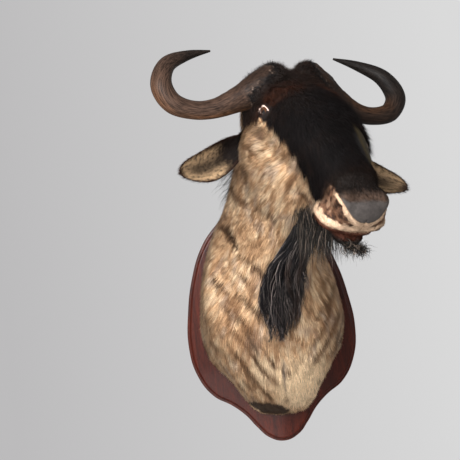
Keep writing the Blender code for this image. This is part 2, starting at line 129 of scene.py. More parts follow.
def catmull_rom(values, t):
    """A smooth curve through the rows of a table; t is an array from 0 to 1."""
    table = np.asarray(values, float)
    spans = len(table) - 1
    at = np.clip(np.asarray(t, float), 0.0, 1.0) * spans
    i = np.minimum(at.astype(int), spans - 1)
    f = (at - i)[..., None]
    a, b, c, d = (table[np.clip(i + k, 0, spans)] for k in (-1, 0, 1, 2))
    return 0.5 * (2 * b + (c - a) * f + (2 * a - 5 * b + 4 * c - d) * f**2 + (3 * b - a - 3 * c + d) * f**3)


def ring_angles(sides):
    """Evenly spaced angles once round a section."""
    return np.linspace(0, 2 * math.pi, sides, endpoint=False)


def head_axes():
    """Rows: forward along the face, the animal's left, up out of the nose bridge."""
    level_left = np.array((math.cos(HEAD_YAW), math.sin(HEAD_YAW), 0.0))
    forward = np.array(
        (
            math.sin(HEAD_YAW) * math.cos(HEAD_PITCH),
            -math.cos(HEAD_YAW) * math.cos(HEAD_PITCH),
            -math.sin(HEAD_PITCH),
        )
    )
    level_up = np.cross(forward, level_left)
    left = level_left * math.cos(HEAD_ROLL) - level_up * math.sin(HEAD_ROLL)
    return np.array((forward, left, np.cross(forward, left)))


HEAD = head_axes()


def from_head(coords):
    """Points given along, left and up in the head's own axes, in the object's frame."""
    return POLL + np.asarray(coords, float) @ HEAD


def to_head(points):
    return (np.asarray(points, float) - POLL) @ HEAD.T


def ball_in_head(middle, radii):
    """The matrix that makes a unit ball an oval one, lying along the head's axes."""
    turn = Matrix(HEAD.tolist()).transposed().to_4x4()
    return Matrix.Translation(from_head(middle)) @ turn @ Matrix.Diagonal((*radii, 1.0))


def new_object(name, mesh):
    made = bpy.data.objects.new(name, mesh)
    bpy.context.scene.collection.objects.link(made)
    return made


def mesh_of(name, verts, faces):
    mesh = bpy.data.meshes.new(name)
    mesh.from_pydata([tuple(map(float, v)) for v in verts], [], [tuple(map(int, f)) for f in faces])
    mesh.update()
    return mesh


def mesh_from(bm, name):
    mesh = bpy.data.meshes.new(name)
    bm.to_mesh(mesh)
    bm.free()
    return mesh


def loft_faces(rings, sides, start=0):
    """Quads between closed rings, with a fan's middle point for each end."""
    faces = []
    for k in range(rings - 1):
        for i in range(sides):
            j = (i + 1) % sides
            low, high = start + k * sides, start + (k + 1) * sides
            faces.append((low + i, low + j, high + j, high + i))
    first, last = start + rings * sides, start + rings * sides + 1
    for i in range(sides):
        j = (i + 1) % sides
        faces.append((first, start + j, start + i))
        top = start + (rings - 1) * sides
        faces.append((last, top + i, top + j))
    return faces


def loft_verts(grid):
    """The grid of rings as rows of points, with the middle of the first and last ring."""
    return np.vstack([grid.reshape(-1, 3), grid[0].mean(0), grid[-1].mean(0)])


def outward(mesh):
    """Merges doubles and turns a closed shell's faces outwards."""
    bm = bmesh.new()
    bm.from_mesh(mesh)
    bmesh.ops.remove_doubles(bm, verts=bm.verts, dist=1e-6)
    bmesh.ops.recalc_face_normals(bm, faces=bm.faces)
    bm.to_mesh(mesh)
    bm.free()
    return mesh


def evaluated(obj, name):
    """The object with its modifiers applied, as a new plain mesh."""
    graph = bpy.context.evaluated_depsgraph_get()
    mesh = bpy.data.meshes.new_from_object(obj.evaluated_get(graph))
    mesh.name = name
    return mesh


def points_of(mesh):
    out = np.empty(len(mesh.vertices) * 3)
    mesh.vertices.foreach_get("co", out)
    return out.reshape(-1, 3)


def normals_of(mesh):
    out = np.empty(len(mesh.vertices) * 3)
    mesh.vertices.foreach_get("normal", out)
    return out.reshape(-1, 3)


def move_points(mesh, points):
    mesh.vertices.foreach_set("co", np.asarray(points, np.float32).ravel())
    mesh.update()


def in_skin(way, normals):
    """The part of each direction that lies in the skin and not across it."""
    return way - normals * np.sum(way * normals, axis=1, keepdims=True)


def keep_values(mesh, name, kind, values):
    """Stores a value for each point under a name that the material reads."""
    made = mesh.attributes.get(name) or mesh.attributes.new(name, kind, "POINT")
    field = {"FLOAT": "value", "FLOAT_VECTOR": "vector", "FLOAT_COLOR": "color"}[kind]
    values = np.asarray(values, np.float32)
    if kind == "FLOAT_COLOR":
        values = np.hstack([values, np.ones((len(values), 1), np.float32)])
    made.data.foreach_set(field, values.ravel())


def relaxed(points, edges, times, share=0.5):
    """Points drawn towards the middle of their neighbours."""
    count = np.bincount(edges.ravel(), minlength=len(points))[:, None]
    for _ in range(times):
        total = np.zeros_like(points)
        for axis in range(points.shape[1]):
            total[:, axis] += np.bincount(edges[:, 0], points[edges[:, 1], axis], len(points))
            total[:, axis] += np.bincount(edges[:, 1], points[edges[:, 0], axis], len(points))
        points = points * (1 - share) + share * total / np.maximum(count, 1)
    return points


def edges_of(mesh):
    out = np.empty(len(mesh.edges) * 2, int)
    mesh.edges.foreach_get("vertices", out)
    return out.reshape(-1, 2)


def add_node(tree, kind, inputs=None, **settings):
    """Adds a node with its settings, and fills its sockets with values or links."""
    node = tree.nodes.new(kind)
    for name, value in settings.items():
        setattr(node, name, value)
    for key, value in (inputs or {}).items():
        if isinstance(value, bpy.types.NodeSocket):
            tree.links.new(value, node.inputs[key])
        else:
            node.inputs[key].default_value = value
    return node


# Shoulder and neck, from the plaque up to the skull: nape y and z, throat y and z, middle x,
# half width, and how much wider it is on the throat's side.
NECK_SECTIONS = (
    (-0.020, 0.300, -0.020, -0.256, 0.003, 0.186, 0.00),
    (-0.030, 0.305, -0.075, -0.242, 0.003, 0.186, 0.00),
    (-0.055, 0.325, -0.165, -0.202, 0.002, 0.179, 0.15),
    (-0.090, 0.362, -0.250, -0.135, 0.000, 0.161, 0.30),
    (-0.130, 0.405, -0.305, -0.045, -0.003, 0.133, 0.60),
    (-0.172, 0.450, -0.345, 0.060, 0.012, 0.102, 0.34),
    (-0.210, 0.492, -0.385, 0.150, 0.043, 0.106, 0.14),
    (-0.240, 0.530, -0.435, 0.220, 0.064, 0.105, 0.00),
    (-0.270, 0.556, -0.500, 0.270, 0.082, 0.106, 0.00),
    (-0.320, 0.560, -0.550, 0.312, 0.100, 0.094, 0.00),
    (-0.380, 0.545, -0.595, 0.350, 0.124, 0.062, 0.00),
)
NECK_LEAN = 0.122
NECK_TURN_START = 0.35
NECK_RINGS = 110
CAPE_SPANS = 2
BODY_SIDES = 96

# The cape's cut edge on the plaque: share of the way from its middle up or down, and share
# of the half width there
CAPE_EDGE = np.array(
    (
        (-1.00, 0.00),
        (-0.96, 0.36),
        (-0.88, 0.56),
        (-0.60, 0.74),
        (-0.19, 0.91),
        (0.14, 1.00),
        (0.30, 0.975),
        (0.43, 0.90),
        (0.67, 0.60),
        (0.88, 0.45),
        (0.97, 0.30),
        (1.00, 0.00),
    )
)


def neck_grid():
    """Rings round the shoulder and neck. The first ones follow the cape's cut edge."""
    t = np.linspace(0, 1, NECK_RINGS)[:, None]
    columns = catmull_rom(NECK_SECTIONS, t[:, 0]).T
    nape_y, nape_z, throat_y, throat_z, middle, half, egg = (c[:, None] for c in columns)
    angle = ring_angles(BODY_SIDES)[None, :]
    c, s = np.cos(angle), np.sin(angle)
    turn = np.maximum(0.0, t - NECK_TURN_START) / (1 - NECK_TURN_START) * HEAD_YAW
    share = np.clip(1 - (t * (len(NECK_SECTIONS) - 1) - 1) / CAPE_SPANS, 0.0, 1.0)
    edge = np.sign(s) * np.interp(c, CAPE_EDGE[:, 0], CAPE_EDGE[:, 1])
    width = half * (s * (1 + egg * c) * (1 - share) + edge * share)
    x = middle + np.cos(turn) * width
    y = (nape_y + throat_y) / 2 + (throat_y - nape_y) / 2 * c + np.sin(turn) * width
    z = (nape_z + throat_z) / 2 + (throat_z - nape_z) / 2 * c - NECK_LEAN * t * width
    return np.stack([x, y, z], axis=-1)


# Skull, face and muzzle: distance from the poll, top, bottom, half width near the top, half
# width near the bottom, and a power that squares the section below 1.
HEAD_SECTIONS = (
    (-0.085, -0.085, -0.175, 0.040, 0.040, 1.00),
    (-0.060, -0.050, -0.205, 0.070, 0.068, 1.00),
    (-0.020, -0.022, -0.222, 0.092, 0.092, 1.00),
    (0.030, -0.004, -0.232, 0.098, 0.100, 1.00),
    (0.080, 0.006, -0.230, 0.096, 0.100, 1.00),
    (0.130, 0.012, -0.220, 0.110, 0.096, 0.98),
    (0.185, 0.014, -0.206, 0.112, 0.088, 0.92),
    (0.245, 0.011, -0.190, 0.103, 0.076, 0.86),
    (0.305, 0.004, -0.170, 0.085, 0.062, 0.82),
    (0.360, -0.006, -0.158, 0.066, 0.055, 0.80),
    (0.405, -0.018, -0.150, 0.056, 0.052, 0.80),
    (0.440, -0.034, -0.146, 0.055, 0.052, 0.80),
    (0.470, -0.050, -0.140, 0.058, 0.050, 0.80),
    (0.488, -0.062, -0.130, 0.050, 0.044, 0.80),
)
HEAD_RINGS = 130


def head_grid():
    """Rings round the skull, face and muzzle."""
    t = np.linspace(0, 1, HEAD_RINGS)
    along, top, bottom, high, low, square = (c[:, None] for c in catmull_rom(HEAD_SECTIONS, t).T)
    angle = ring_angles(BODY_SIDES)[None, :]
    c, s = np.cos(angle), np.sin(angle)
    width = low + (high - low) * (0.5 + 0.5 * c)
    out = width * np.sign(s) * np.abs(s) ** square
    rise = (top + bottom) / 2 + (top - bottom) / 2 * np.sign(c) * np.abs(c) ** square
    return from_head(np.stack([np.broadcast_to(along, out.shape), out, rise], axis=-1))


# Muscles, brows, cheeks, nostril wings and lips: middle and radii in the head's axes. Those
# off the middle line are there on both sides.
FACE_FORMS = (
    ((0.085, 0.058, -0.034), (0.034, 0.024, 0.022)),
    ((0.100, 0.052, -0.170), (0.140, 0.050, 0.070)),
    ((0.455, 0.036, -0.068), (0.034, 0.024, 0.026)),
    ((0.430, 0.044, -0.118), (0.050, 0.032, 0.024)),
    ((0.470, 0.0, -0.085), (0.030, 0.055, 0.036)),
    ((0.440, 0.0, -0.156), (0.038, 0.036, 0.020)),
)


def face_forms(bm):
    for (along, left, up), radii in FACE_FORMS:
        for side in (1, -1) if left else (1,):
            place = ball_in_head((along, left * side, up), radii)
            bmesh.ops.create_uvsphere(bm, u_segments=32, v_segments=20, radius=1.0, matrix=place)


def fused_hide():
    """Neck, skull and muzzle fused into one skin, smoothed and cut flat where the plaque is."""
    mesh = mesh_of(
        "hide_forms",
        np.vstack([loft_verts(neck_grid()), loft_verts(head_grid())]),
        loft_faces(NECK_RINGS, BODY_SIDES) + loft_faces(HEAD_RINGS, BODY_SIDES, NECK_RINGS * BODY_SIDES + 2),
    )
    bm = bmesh.new()
    bm.from_mesh(mesh)
    face_forms(bm)
    bmesh.ops.recalc_face_normals(bm, faces=bm.faces)
    bm.to_mesh(mesh)
    bm.free()
    forms = new_object("hide_forms", mesh)
    fuse = forms.modifiers.new("fuse", "REMESH")
    fuse.mode = "VOXEL"
    fuse.voxel_size = SKIN_VOXEL
    skin = evaluated(forms, "hide_skin")
    bpy.data.objects.remove(forms)
    move_points(skin, relaxed(points_of(skin), edges_of(skin), SKIN_SMOOTHING))
    bm = bmesh.new()
    bm.from_mesh(skin)
    fine = [e for e in bm.edges if all(needs_detail(to_head(v.co)) for v in e.verts)]
    bmesh.ops.subdivide_edges(bm, edges=fine, cuts=2, use_grid_fill=True)
    bmesh.ops.triangulate(bm, faces=[f for f in bm.faces if len(f.verts) > 4])
    bm.to_mesh(skin)
    bm.free()
    points = relaxed(points_of(skin), edges_of(skin), 2)
    points[:, 1] = np.minimum(points[:, 1], CAPE_BACK)
    move_points(skin, points)
    return skin


# Where the skin gets smaller faces: round each eye, and on the front of the muzzle
EYE_DETAIL_REACH = 0.034
MUZZLE_FRONT = 0.415
MUZZLE_FOOT = -0.150


def needs_detail(coords):
    """Whether a point in the head's axes lies round an eye or on the muzzle's front."""
    along, left, up = coords
    by_eye = math.dist((along, abs(left), up), EYE_MIDDLE) < EYE_DETAIL_REACH
    return by_eye or (along > MUZZLE_FRONT and up > MUZZLE_FOOT)


def nearest_on(grid, points):
    """For each point: how far down the rings and round them it is, and the way down them there."""
    rings, sides = grid.shape[:2]
    way = np.gradient(grid, axis=0).reshape(-1, 3)
    tree = KDTree(rings * sides)
    for i, p in enumerate(grid.reshape(-1, 3)):
        tree.insert(p, i)
    tree.balance()
    found = np.array([tree.find(p)[1] for p in points])
    return found // sides / (rings - 1), found % sides / sides, unit(way[found])


# The black hair's lower edge on the side of the face: distance from the poll, and height
BLACK_EDGE = np.array(
    (
        (-0.10, -0.060),
        (-0.03, -0.110),
        (0.02, -0.140),
        (0.05, -0.122),
        (0.09, -0.088),
        (0.117, -0.072),
        (0.150, -0.070),
        (0.175, -0.060),
        (0.243, -0.058),
        (0.280, -0.066),
        (0.305, -0.083),
        (0.340, -0.094),
        (0.365, -0.120),
        (0.390, -0.160),
        (0.500, -0.160),
    )
)

# The place where the hide has split off its form, on the left of the nose bridge
SPLIT_MIDDLE = 0.322
SPLIT_HALF_LENGTH = 0.066
SPLIT_LEFT = 0.037
SPLIT_HALF_WIDTH = 0.012
SPLIT_BOW = 0.010

MUZZLE_START = 0.405
PAD_TOP = -0.0525
PAD_BOTTOM = -0.092
PAD_HALF_WIDTH = 0.053
PAD_CURVE = 2.2
LIP_EDGE = -0.124

# Stands for a distance too far off to matter
FAR = 9.0


def pad_foot(side):
    """Height of the nose pad's lower edge, which rises away from the middle."""
    return PAD_BOTTOM + (PAD_TOP - PAD_BOTTOM) * (side / PAD_HALF_WIDTH) ** PAD_CURVE


class Hide:
    """The skin's mesh with what is worked out for each of its points."""

    def __init__(self, mesh):
        self.mesh = mesh
        self.points = points_of(mesh)
        self.normals = normals_of(mesh)
        self.head = to_head(self.points)
        self.neck_share, self.neck_round, self.neck_way = nearest_on(neck_grid(), self.points)
        self.find_regions()

    def find_regions(self):
        """How far each point belongs to the black face, the muzzle, its pad, an eye or the split."""
        along, left, up = self.head.T
        side = np.abs(left)
        wander = rough(self.points, 45.0, 3) * 0.010 + rough(self.points, 160.0, 2, 5.0) * 0.006
        edge = np.interp(along, BLACK_EDGE[:, 0], BLACK_EDGE[:, 1])
        in_head = smooth(-0.075, -0.040, along)
        self.black = smooth(-0.006, 0.006, up - edge + wander) * in_head
        self.muzzle = smooth(MUZZLE_START - 0.02, MUZZLE_START + 0.015, along + wander * 0.6)
        self.pad = (
            smooth(-0.0025, 0.0025, PAD_TOP - up + wander * 0.15)
            * smooth(-0.002, 0.003, up - pad_foot(side))
            * smooth(0.455, 0.468, along)
        )
        self.find_eyes(np.stack([along, side, up], axis=1) - np.array(EYE_MIDDLE))
        self.find_split(along, left, up)

    def find_eyes(self, off):
        """Distances from the slit between the lids and from the upper lid's edge, in their sizes."""
        gaze, slit = unit(EYE_GAZE), unit(EYE_SLIT)
        across = unit(np.cross(gaze, slit))
        across = across if across[2] > 0 else -across
        behind = (off @ gaze < 0) | (np.linalg.norm(off, axis=1) > EYE_REACH)
        self.lid_high = off @ across
        self.eye_ring = np.hypot(off @ slit / EYE_SLIT_HALF[0], self.lid_high / EYE_SLIT_HALF[1])
        self.eye_ring[behind] = FAR
        self.lid_along = off @ slit / LID_HALF_LENGTH
        self.lid_along[behind] = FAR
        arc = LID_RISE * (1 - np.minimum(self.lid_along**2, 4.0))
        self.lid_gap = np.abs(self.lid_high - arc) / LID_HALF_WIDTH

    def find_split(self, along, left, up):
        """The bare split beside the nose bridge, its pale outer edge, and the thin hair round it."""
        share = (along - SPLIT_MIDDLE) / SPLIT_HALF_LENGTH
        bow = np.maximum(0.0, 1 - share**2)
        middle = SPLIT_LEFT + SPLIT_BOW * bow
        gap = np.abs(left - middle) / np.maximum(SPLIT_HALF_WIDTH * bow, 1e-4)
        there = (np.abs(share) < 1) & (up > -0.05)
        self.split = smooth(1.05, 0.90, gap) * there
        self.split_edge = smooth(1.32, 1.15, gap) * there * (left > middle) * (share > -0.1)
        self.split_near = smooth(3.2, 1.6, gap) * there


# Dark marks on the cape, seen from the front: from x and z, to x and z, half width, strength
CAPE_MARKS = (
    (-0.078, 0.266, -0.064, 0.210, 0.0080, 1.0),
    (-0.062, 0.195, 0.000, 0.140, 0.0070, 0.7),
    (-0.076, 0.100, -0.030, 0.055, 0.0080, 0.7),
    (-0.118, 0.085, -0.085, 0.040, 0.0070, 0.6),
    (-0.066, 0.012, -0.045, -0.050, 0.0060, 0.7),
    (-0.036, 0.000, 0.006, -0.030, 0.0060, 0.5),
    (-0.155, -0.010, -0.105, -0.060, 0.0080, 0.5),
    (0.160, 0.095, 0.100, 0.020, 0.0070, 0.7),
    (0.140, 0.118, 0.110, 0.070, 0.0060, 0.6),
    (0.195, 0.020, 0.150, -0.040, 0.0070, 0.6),
    (0.185, -0.045, 0.148, -0.085, 0.0080, 0.9),
    (0.130, -0.005, 0.080, -0.045, 0.0060, 0.5),
    (-0.010, 0.300, 0.030, 0.262, 0.0060, 0.6),
    (-0.028, 0.392, -0.020, 0.330, 0.0050, 0.5),
    (0.020, 0.420, 0.035, 0.360, 0.0050, 0.5),
    (-0.055, 0.330, -0.050, 0.285, 0.0050, 0.5),
)

# The seam below the beard, a fold beside it and the dark patch at the cape's foot: from x and
# z, to x and z, and the patch's half width
CAPE_SEAM = (0.010, -0.065, 0.012, -0.160)
CAPE_FOLD = (0.148, -0.060, 0.100, -0.150)
FOOT_DARK_PATCH = (-0.066, -0.204, 0.004, -0.230, 0.0250)
SEAM_HALF_WIDTH = 0.0030
SEAM_DEPTH = 0.0030
FOLD_HALF_WIDTH = 0.010
FOLD_RISE = 0.0050
SLACK_RISE = 0.0016

# The pale oval low on the chest: its middle and its radii, in x and z
PALE_MIDDLE = (0.055, -0.150)
PALE_RADII = (0.070, 0.075)


def stroke(points, x0, z0, x1, z1, half):
    """How far each point is from a straight mark seen from the front, in its half widths."""
    way = np.array((x1 - x0, z1 - z0))
    off = points[:, (0, 2)] - np.array((x0, z0))
    share = np.clip(off @ way / (way @ way), 0.0, 1.0)
    gap = np.linalg.norm(off - share[:, None] * way, axis=1)
    return gap / (half * (0.45 + 0.55 * np.sin(np.pi * (0.12 + 0.76 * share))))


def painted_stripes(points, wander):
    """The cape's clearest dark marks on its front half, with ragged ends and edges."""
    total = np.zeros(len(points))
    for x0, z0, x1, z1, half, strength in CAPE_MARKS:
        gap = stroke(points, x0, z0, x1, z1, half)
        total = np.maximum(total, strength * smooth(1.4, 0.6, gap + 0.5 * wander))
    return total * smooth(-0.03, -0.06, points[:, 1])


# Stripes of the brindle: distance between them, the V's middle, and its arms' rise a metre out
STRIPE_STEP = 0.034
STRIPE_MIDDLE = 0.03
STRIPE_STEEPNESS = 1.7


def brindle(points):
    """Dark V-shaped stripes with steep arms, one above another, bent, broken and frayed by noise."""
    x, y, z = points.T
    out = np.abs(x - STRIPE_MIDDLE)
    across = (z - STRIPE_STEEPNESS * out) / np.hypot(1.0, STRIPE_STEEPNESS)
    down = (z * STRIPE_STEEPNESS + out) / np.hypot(1.0, STRIPE_STEEPNESS)
    wave = np.cos(2 * np.pi * across / STRIPE_STEP + 2.6 * rough(points, 8.0, 2, 31.0))
    coarse = rough(np.stack([across * 12.0, down * 9.0, y * 6.0], axis=1), 1.0, 2, 55.0)
    streaks = rough(np.stack([across * 46.0, down * 8.0, y * 6.0], axis=1), 1.0, 2, 13.0)
    return 0.52 * wave * smooth(-0.35, 0.45, coarse) + 0.62 * streaks


def pale_chest(points):
    """How far each point is from the pale oval's middle, in its radii."""
    return np.hypot(
        (points[:, 0] - PALE_MIDDLE[0]) / PALE_RADII[0],
        (points[:, 2] - PALE_MIDDLE[1]) / PALE_RADII[1],
    )


def cape_colours(points, flowing, clumps, fine, big):
    """Tan hair with cream and grey tips, brown and black stripes, and a pale oval on the chest."""
    tan, cream, brown, dark, grey, pale_cream = colours(
        "#bb9672", "#dcc2a0", "#765339", "#2b1d15", "#a49284", "#ffdeb4"
    )
    tuft = clumps + 0.7 * fine
    coat = mix(tan, cream, 0.75 * smooth(-0.10, 0.60, tuft + 0.3 * big))
    coat = mix(coat, grey, 0.5 * smooth(0.1, 0.5, rough(flowing, (50.0, 12.0, 1.0), 2, 21.0)))
    coat = mix(coat, brown, 0.68 * smooth(0.0, -0.50, tuft))
    coat = mix(coat, dark, 0.25 * smooth(-0.45, -0.85, tuft))
    stripes = brindle(points) + 0.25 * clumps + 0.20 * fine
    coat = mix(coat, brown * 0.8, 0.80 * smooth(0.15, 0.45, stripes))
    coat = mix(coat, dark, 0.75 * smooth(0.42, 0.80, stripes))
    coat = mix(coat, pale_cream, 0.85 * smooth(1.25, 0.5, pale_chest(points) + 0.5 * tuft))
    seam = smooth(1.4, 0.6, stroke(points, *CAPE_SEAM, 0.0040) + 0.3 * clumps) * (points[:, 1] < -0.06)
    coat = mix(coat, grey * 0.55, 0.8 * seam)
    coat = mix(coat, dark, 0.9 * painted_stripes(points, 0.45 * clumps + 0.30 * fine))
    # The darker patch at the cape's foot, below the brisket, where the hair is also shorter
    foot_patch = smooth(1.20, 0.75, stroke(points, *FOOT_DARK_PATCH) + 0.35 * clumps) * (points[:, 1] < -0.028)
    return mix(coat, dark * 0.8, 0.95 * foot_patch)


def face_colours(hide, clumps, fine, big):
    """Black, browner on the brow and towards the muzzle, with rusty hair above the eyes."""
    along, left = hide.head[:, 0], hide.head[:, 1]
    black, brow, rust = colours("#070505", "#110a07", "#2b150b")
    face = mix(black, brow, smooth(0.17, 0.05, along + 0.05 * big) * 0.8)
    face = mix(face, brow * 1.3, smooth(0.25, 0.75, clumps + fine) * 0.6)
    rusty = smooth(0.055, 0.02, np.hypot(along - 0.088, (np.abs(left) - 0.062) * 0.8))
    face = mix(face, rust, rusty * smooth(-0.5, 0.6, clumps) * 0.7)
    return mix(face, brow, smooth(0.37, 0.42, along) * 0.9)


def coat_colours(hide):
    """Tan, brindled coat; black face with brown brow; cream and grey muzzle; split, lids and a painted
    highlight along each upper lid.
    """
    way = np.stack([hide.neck_round * 0.75, hide.neck_share * 1.15, 0 * hide.neck_share], axis=1)
    flowing = way + rough(hide.points, 9.0, 2)[:, None] * np.array((0.030, 0.02, 0.0))
    clumps = rough(flowing, (95.0, 9.0, 1.0), 3)
    fine = rough(flowing, (260.0, 20.0, 1.0), 2, 3.0)
    big = rough(hide.points, 7.0, 2, 9.0)
    coat = cape_colours(hide.points, flowing, clumps, fine, big)
    coat = mix(coat, face_colours(hide, clumps, fine, big), hide.black)
    coat = mix(coat, muzzle_colours(hide), hide.muzzle)
    amber, pale, lid = colours("#1c1505", "#c9aea2", "#120907")
    coat = mix(coat, pale, hide.split_edge)
    coat = mix(coat, amber * (1 + 0.25 * fine[:, None]), hide.split)
    coat = mix(coat, lid, smooth(1.05, 0.85, np.hypot(hide.lid_along, hide.lid_high / 0.014)))
    # Painted highlight: a thin pale arc along the upper lid's edge
    coat = mix(coat, pale, smooth(1.3, 0.7, hide.lid_gap) * (np.abs(hide.lid_along) < 1))
    return np.clip(coat, 0.0, 1.0)


def muzzle_colours(hide):
    """Dark pad with a cream rim, whorled brown nostril wings, cream upper lip, red-brown lower lip."""
    along, left, up = hide.head.T
    cream, tan, brown, dusk, grey, pad, lip = colours(
        "#98806a", "#4a3325", "#1c100a", "#0b0604", "#352820", "#2b2725", "#351a10"
    )
    whorls = rough(hide.head, 75.0, 3, 41.0)
    streaks = rough(hide.head, (60.0, 160.0, 160.0), 2, 47.0)
    below = pad_foot(np.minimum(np.abs(left), 0.07)) - up + 0.002 * streaks
    skin = mix(tan, brown, 0.9 * smooth(-0.05, 0.40, whorls))
    skin = mix(skin, cream, 0.2 * smooth(-0.10, -0.45, whorls + 0.4 * streaks))
    rim = smooth(0.017, 0.012, below + 0.004 * whorls) * smooth(0.435, 0.455, along)
    skin = mix(skin, cream, 0.95 * rim)
    skin = mix(skin, cream, smooth(-0.101, -0.107, up + 0.006 * whorls))
    above = smooth(-0.062, -0.052, up) * smooth(0.004, 0.0, below)
    skin = mix(skin, dusk, above)
    band = smooth(0.448, 0.474, along + 0.006 * streaks) * above
    skin = mix(skin, grey, 0.85 * band)
    skin = mix(skin, lip, smooth(LIP_EDGE + 0.001, LIP_EDGE - 0.003, up))
    skin = mix(skin, dusk, smooth(-0.146, -0.158, up))
    skin = mix(skin, pad, hide.pad)
    return skin * (1 + 0.25 * streaks[:, None])


def hair_flow(hide):
    """The way that the hair lies: down the neck, down the face, always along the skin."""
    down_face = HEAD[0] * 0.85 + np.array((0.0, 0.0, -0.45))
    flow = mix(-hide.neck_way, down_face, np.maximum(hide.black, hide.muzzle * 0.6))
    for axis in range(3):
        flow[:, axis] += 0.35 * rough(hide.points, 14.0, 2, 60.0 + 7 * axis)
    flow = unit(relaxed(in_skin(flow, hide.normals), edges_of(hide.mesh), 12))
    for axis in range(3):
        flow[:, axis] += 0.12 * rough(hide.points, 75.0, 1, 90.0 + 7 * axis)
    return unit(flow)


# How far the sculpting moves the skin
UNEVEN_RISE = 0.0012
MOUTH_DEPTH = 0.0055
MOUTH_HALF_WIDTH = 0.0032
NOSTRIL_SIDE = 0.0480
NOSTRIL_UP = -0.0700
NOSTRIL_RADIUS = 0.0035
NOSTRIL_HALF_WIDTH = 0.0045
NOSTRIL_DEPTH = 0.0085
PAD_RISE = 0.0022
PAD_GROOVE_DEPTH = 0.0025
PAD_GROOVE_HALF_WIDTH = 0.0022
SPLIT_RISE = 0.0030
SPLIT_EDGE_RISE = 0.0025
LID_EDGE_RISE = 0.0030
LID_RING_RISE = 0.0035
LID_CREASE_RISE = 0.0010
LID_CLEARANCE = 0.0016
EYE_SOCKET_RADIUS = 0.0150


def ridge(gap, width=1.0):
    """1 where the gap is nothing, and next to nothing from two widths away."""
    return np.exp(-((gap / width) ** 2))


def sculpt(hide):
    """Mouth, nostrils, pad, split, lids and folds, pressed into or out of the skin."""
    along, left, up = hide.head.T
    side = np.abs(left)
    push = UNEVEN_RISE * rough(hide.points, 30.0, 2)
    mouth = LIP_EDGE + 0.10 * np.maximum(0.0, 0.40 - along)
    push -= MOUTH_DEPTH * ridge(up - mouth, MOUTH_HALF_WIDTH) * smooth(0.385, 0.42, along)
    nostril = np.hypot((up - NOSTRIL_UP) / 0.9, side - NOSTRIL_SIDE) - NOSTRIL_RADIUS
    on_tip = smooth(0.425, 0.445, along) * smooth(0.485, 0.475, along)
    push -= NOSTRIL_DEPTH * ridge(nostril, NOSTRIL_HALF_WIDTH) * on_tip
    push += PAD_RISE * hide.pad
    below_pad = smooth(0.470, 0.480, along) * smooth(-0.080, -0.088, up)
    push -= PAD_GROOVE_DEPTH * ridge(left, PAD_GROOVE_HALF_WIDTH) * below_pad
    push += SPLIT_RISE * hide.split
    push += SPLIT_EDGE_RISE * np.maximum(0.0, hide.split_edge - hide.split)
    push += LID_EDGE_RISE * ridge(hide.lid_gap) * (np.abs(hide.lid_along) < 1)
    push += LID_RING_RISE * smooth(2.6, 1.6, hide.eye_ring)
    push += LID_CREASE_RISE * ridge(hide.eye_ring - 1.35, 0.25)
    push += cape_folds(hide.points)
    moved = carve_eye(hide, hide.points + hide.normals * push[:, None])
    moved[:, 1] = np.minimum(moved[:, 1], CAPE_BACK)
    move_points(hide.mesh, moved)
    hide.points = moved
    hide.normals = normals_of(hide.mesh)


def cape_folds(points):
    """A diagonal fold, a stitched seam and slack waves low on the cape."""
    front = smooth(-0.04, -0.08, points[:, 1])
    fold = stroke(points, *CAPE_FOLD, FOLD_HALF_WIDTH)
    seam = stroke(points, *CAPE_SEAM, SEAM_HALF_WIDTH)
    waves = rough(points, (9.0, 9.0, 22.0), 2, 80.0) * smooth(0.10, -0.05, points[:, 2])
    return front * (FOLD_RISE * ridge(fold) - SEAM_DEPTH * ridge(seam)) + SLACK_RISE * waves


def carve_eye(hide, points):
    """Sinks the skin behind the glass inside the slit and lifts the lids clear of it."""
    middle = np.array(EYE_MIDDLE) * np.where(hide.head[:, 1:2] < 0, (1, -1, 1), (1, 1, 1))
    off = to_head(points) - middle
    gap = np.maximum(np.linalg.norm(off, axis=1, keepdims=True), 1e-6)
    inside = smooth(1.12, 0.92, hide.eye_ring)[:, None]
    lids = (smooth(2.4, 1.3, hide.eye_ring) * (hide.eye_ring < 3))[:, None]
    target = gap * (1 - inside) + EYE_SOCKET_RADIUS * inside
    clear = np.maximum(target, EYE_RADIUS + LID_CLEARANCE)
    target = np.where(lids * (1 - inside) > 0.5, clear, target)
    return from_head(middle + off / gap * target)


def principled(name, **values):
    """A material with a Principled shader whose constants sit on its own sockets."""
    made = bpy.data.materials.new(name)
    made.use_nodes = True
    shader = made.node_tree.nodes["Principled BSDF"]
    for key, value in values.items():
        shader.inputs[key.replace("_", " ")].default_value = value
    return made, made.node_tree, shader


def kept(tree, name):
    """A value kept on the mesh, as a material reads it."""
    return add_node(tree, "ShaderNodeAttribute", attribute_name=name).outputs


def noise_over(tree, place, scale, detail, **more):
    given = {"Vector": place, "Scale": scale, "Detail": detail, **more}
    return add_node(tree, "ShaderNodeTexNoise", given).outputs["Fac"]


def stretched(tree, place, scale):
    return add_node(tree, "ShaderNodeMapping", {"Vector": place, "Scale": scale}).outputs[0]


def ranged(tree, value, to_low, to_high, from_low=0.0, from_high=1.0):
    """Turns a value in one range into a value in another, held at its ends."""
    given = {"Value": value, "From Min": from_low, "From Max": from_high, "To Min": to_low, "To Max": to_high}
    return add_node(tree, "ShaderNodeMapRange", given).outputs[0]


def ramp(tree, share, low, high, start=0.0, end=1.0):
    """A blend between two sRGB colours."""
    tone = add_node(tree, "ShaderNodeValToRGB", {"Fac": share})
    for element, place, hex_colour in zip(tone.color_ramp.elements, (start, end), (low, high)):
        element.position = place
        element.color = (*linear(hex_colour), 1)
    return tone.outputs["Color"]


def maths(tree, operation, a, b):
    return add_node(tree, "ShaderNodeMath", {0: a, 1: b}, operation=operation).outputs[0]


def scaled(tree, vector, by):
    return add_node(tree, "ShaderNodeVectorMath", {0: vector, "Scale": by}, operation="SCALE").outputs[0]


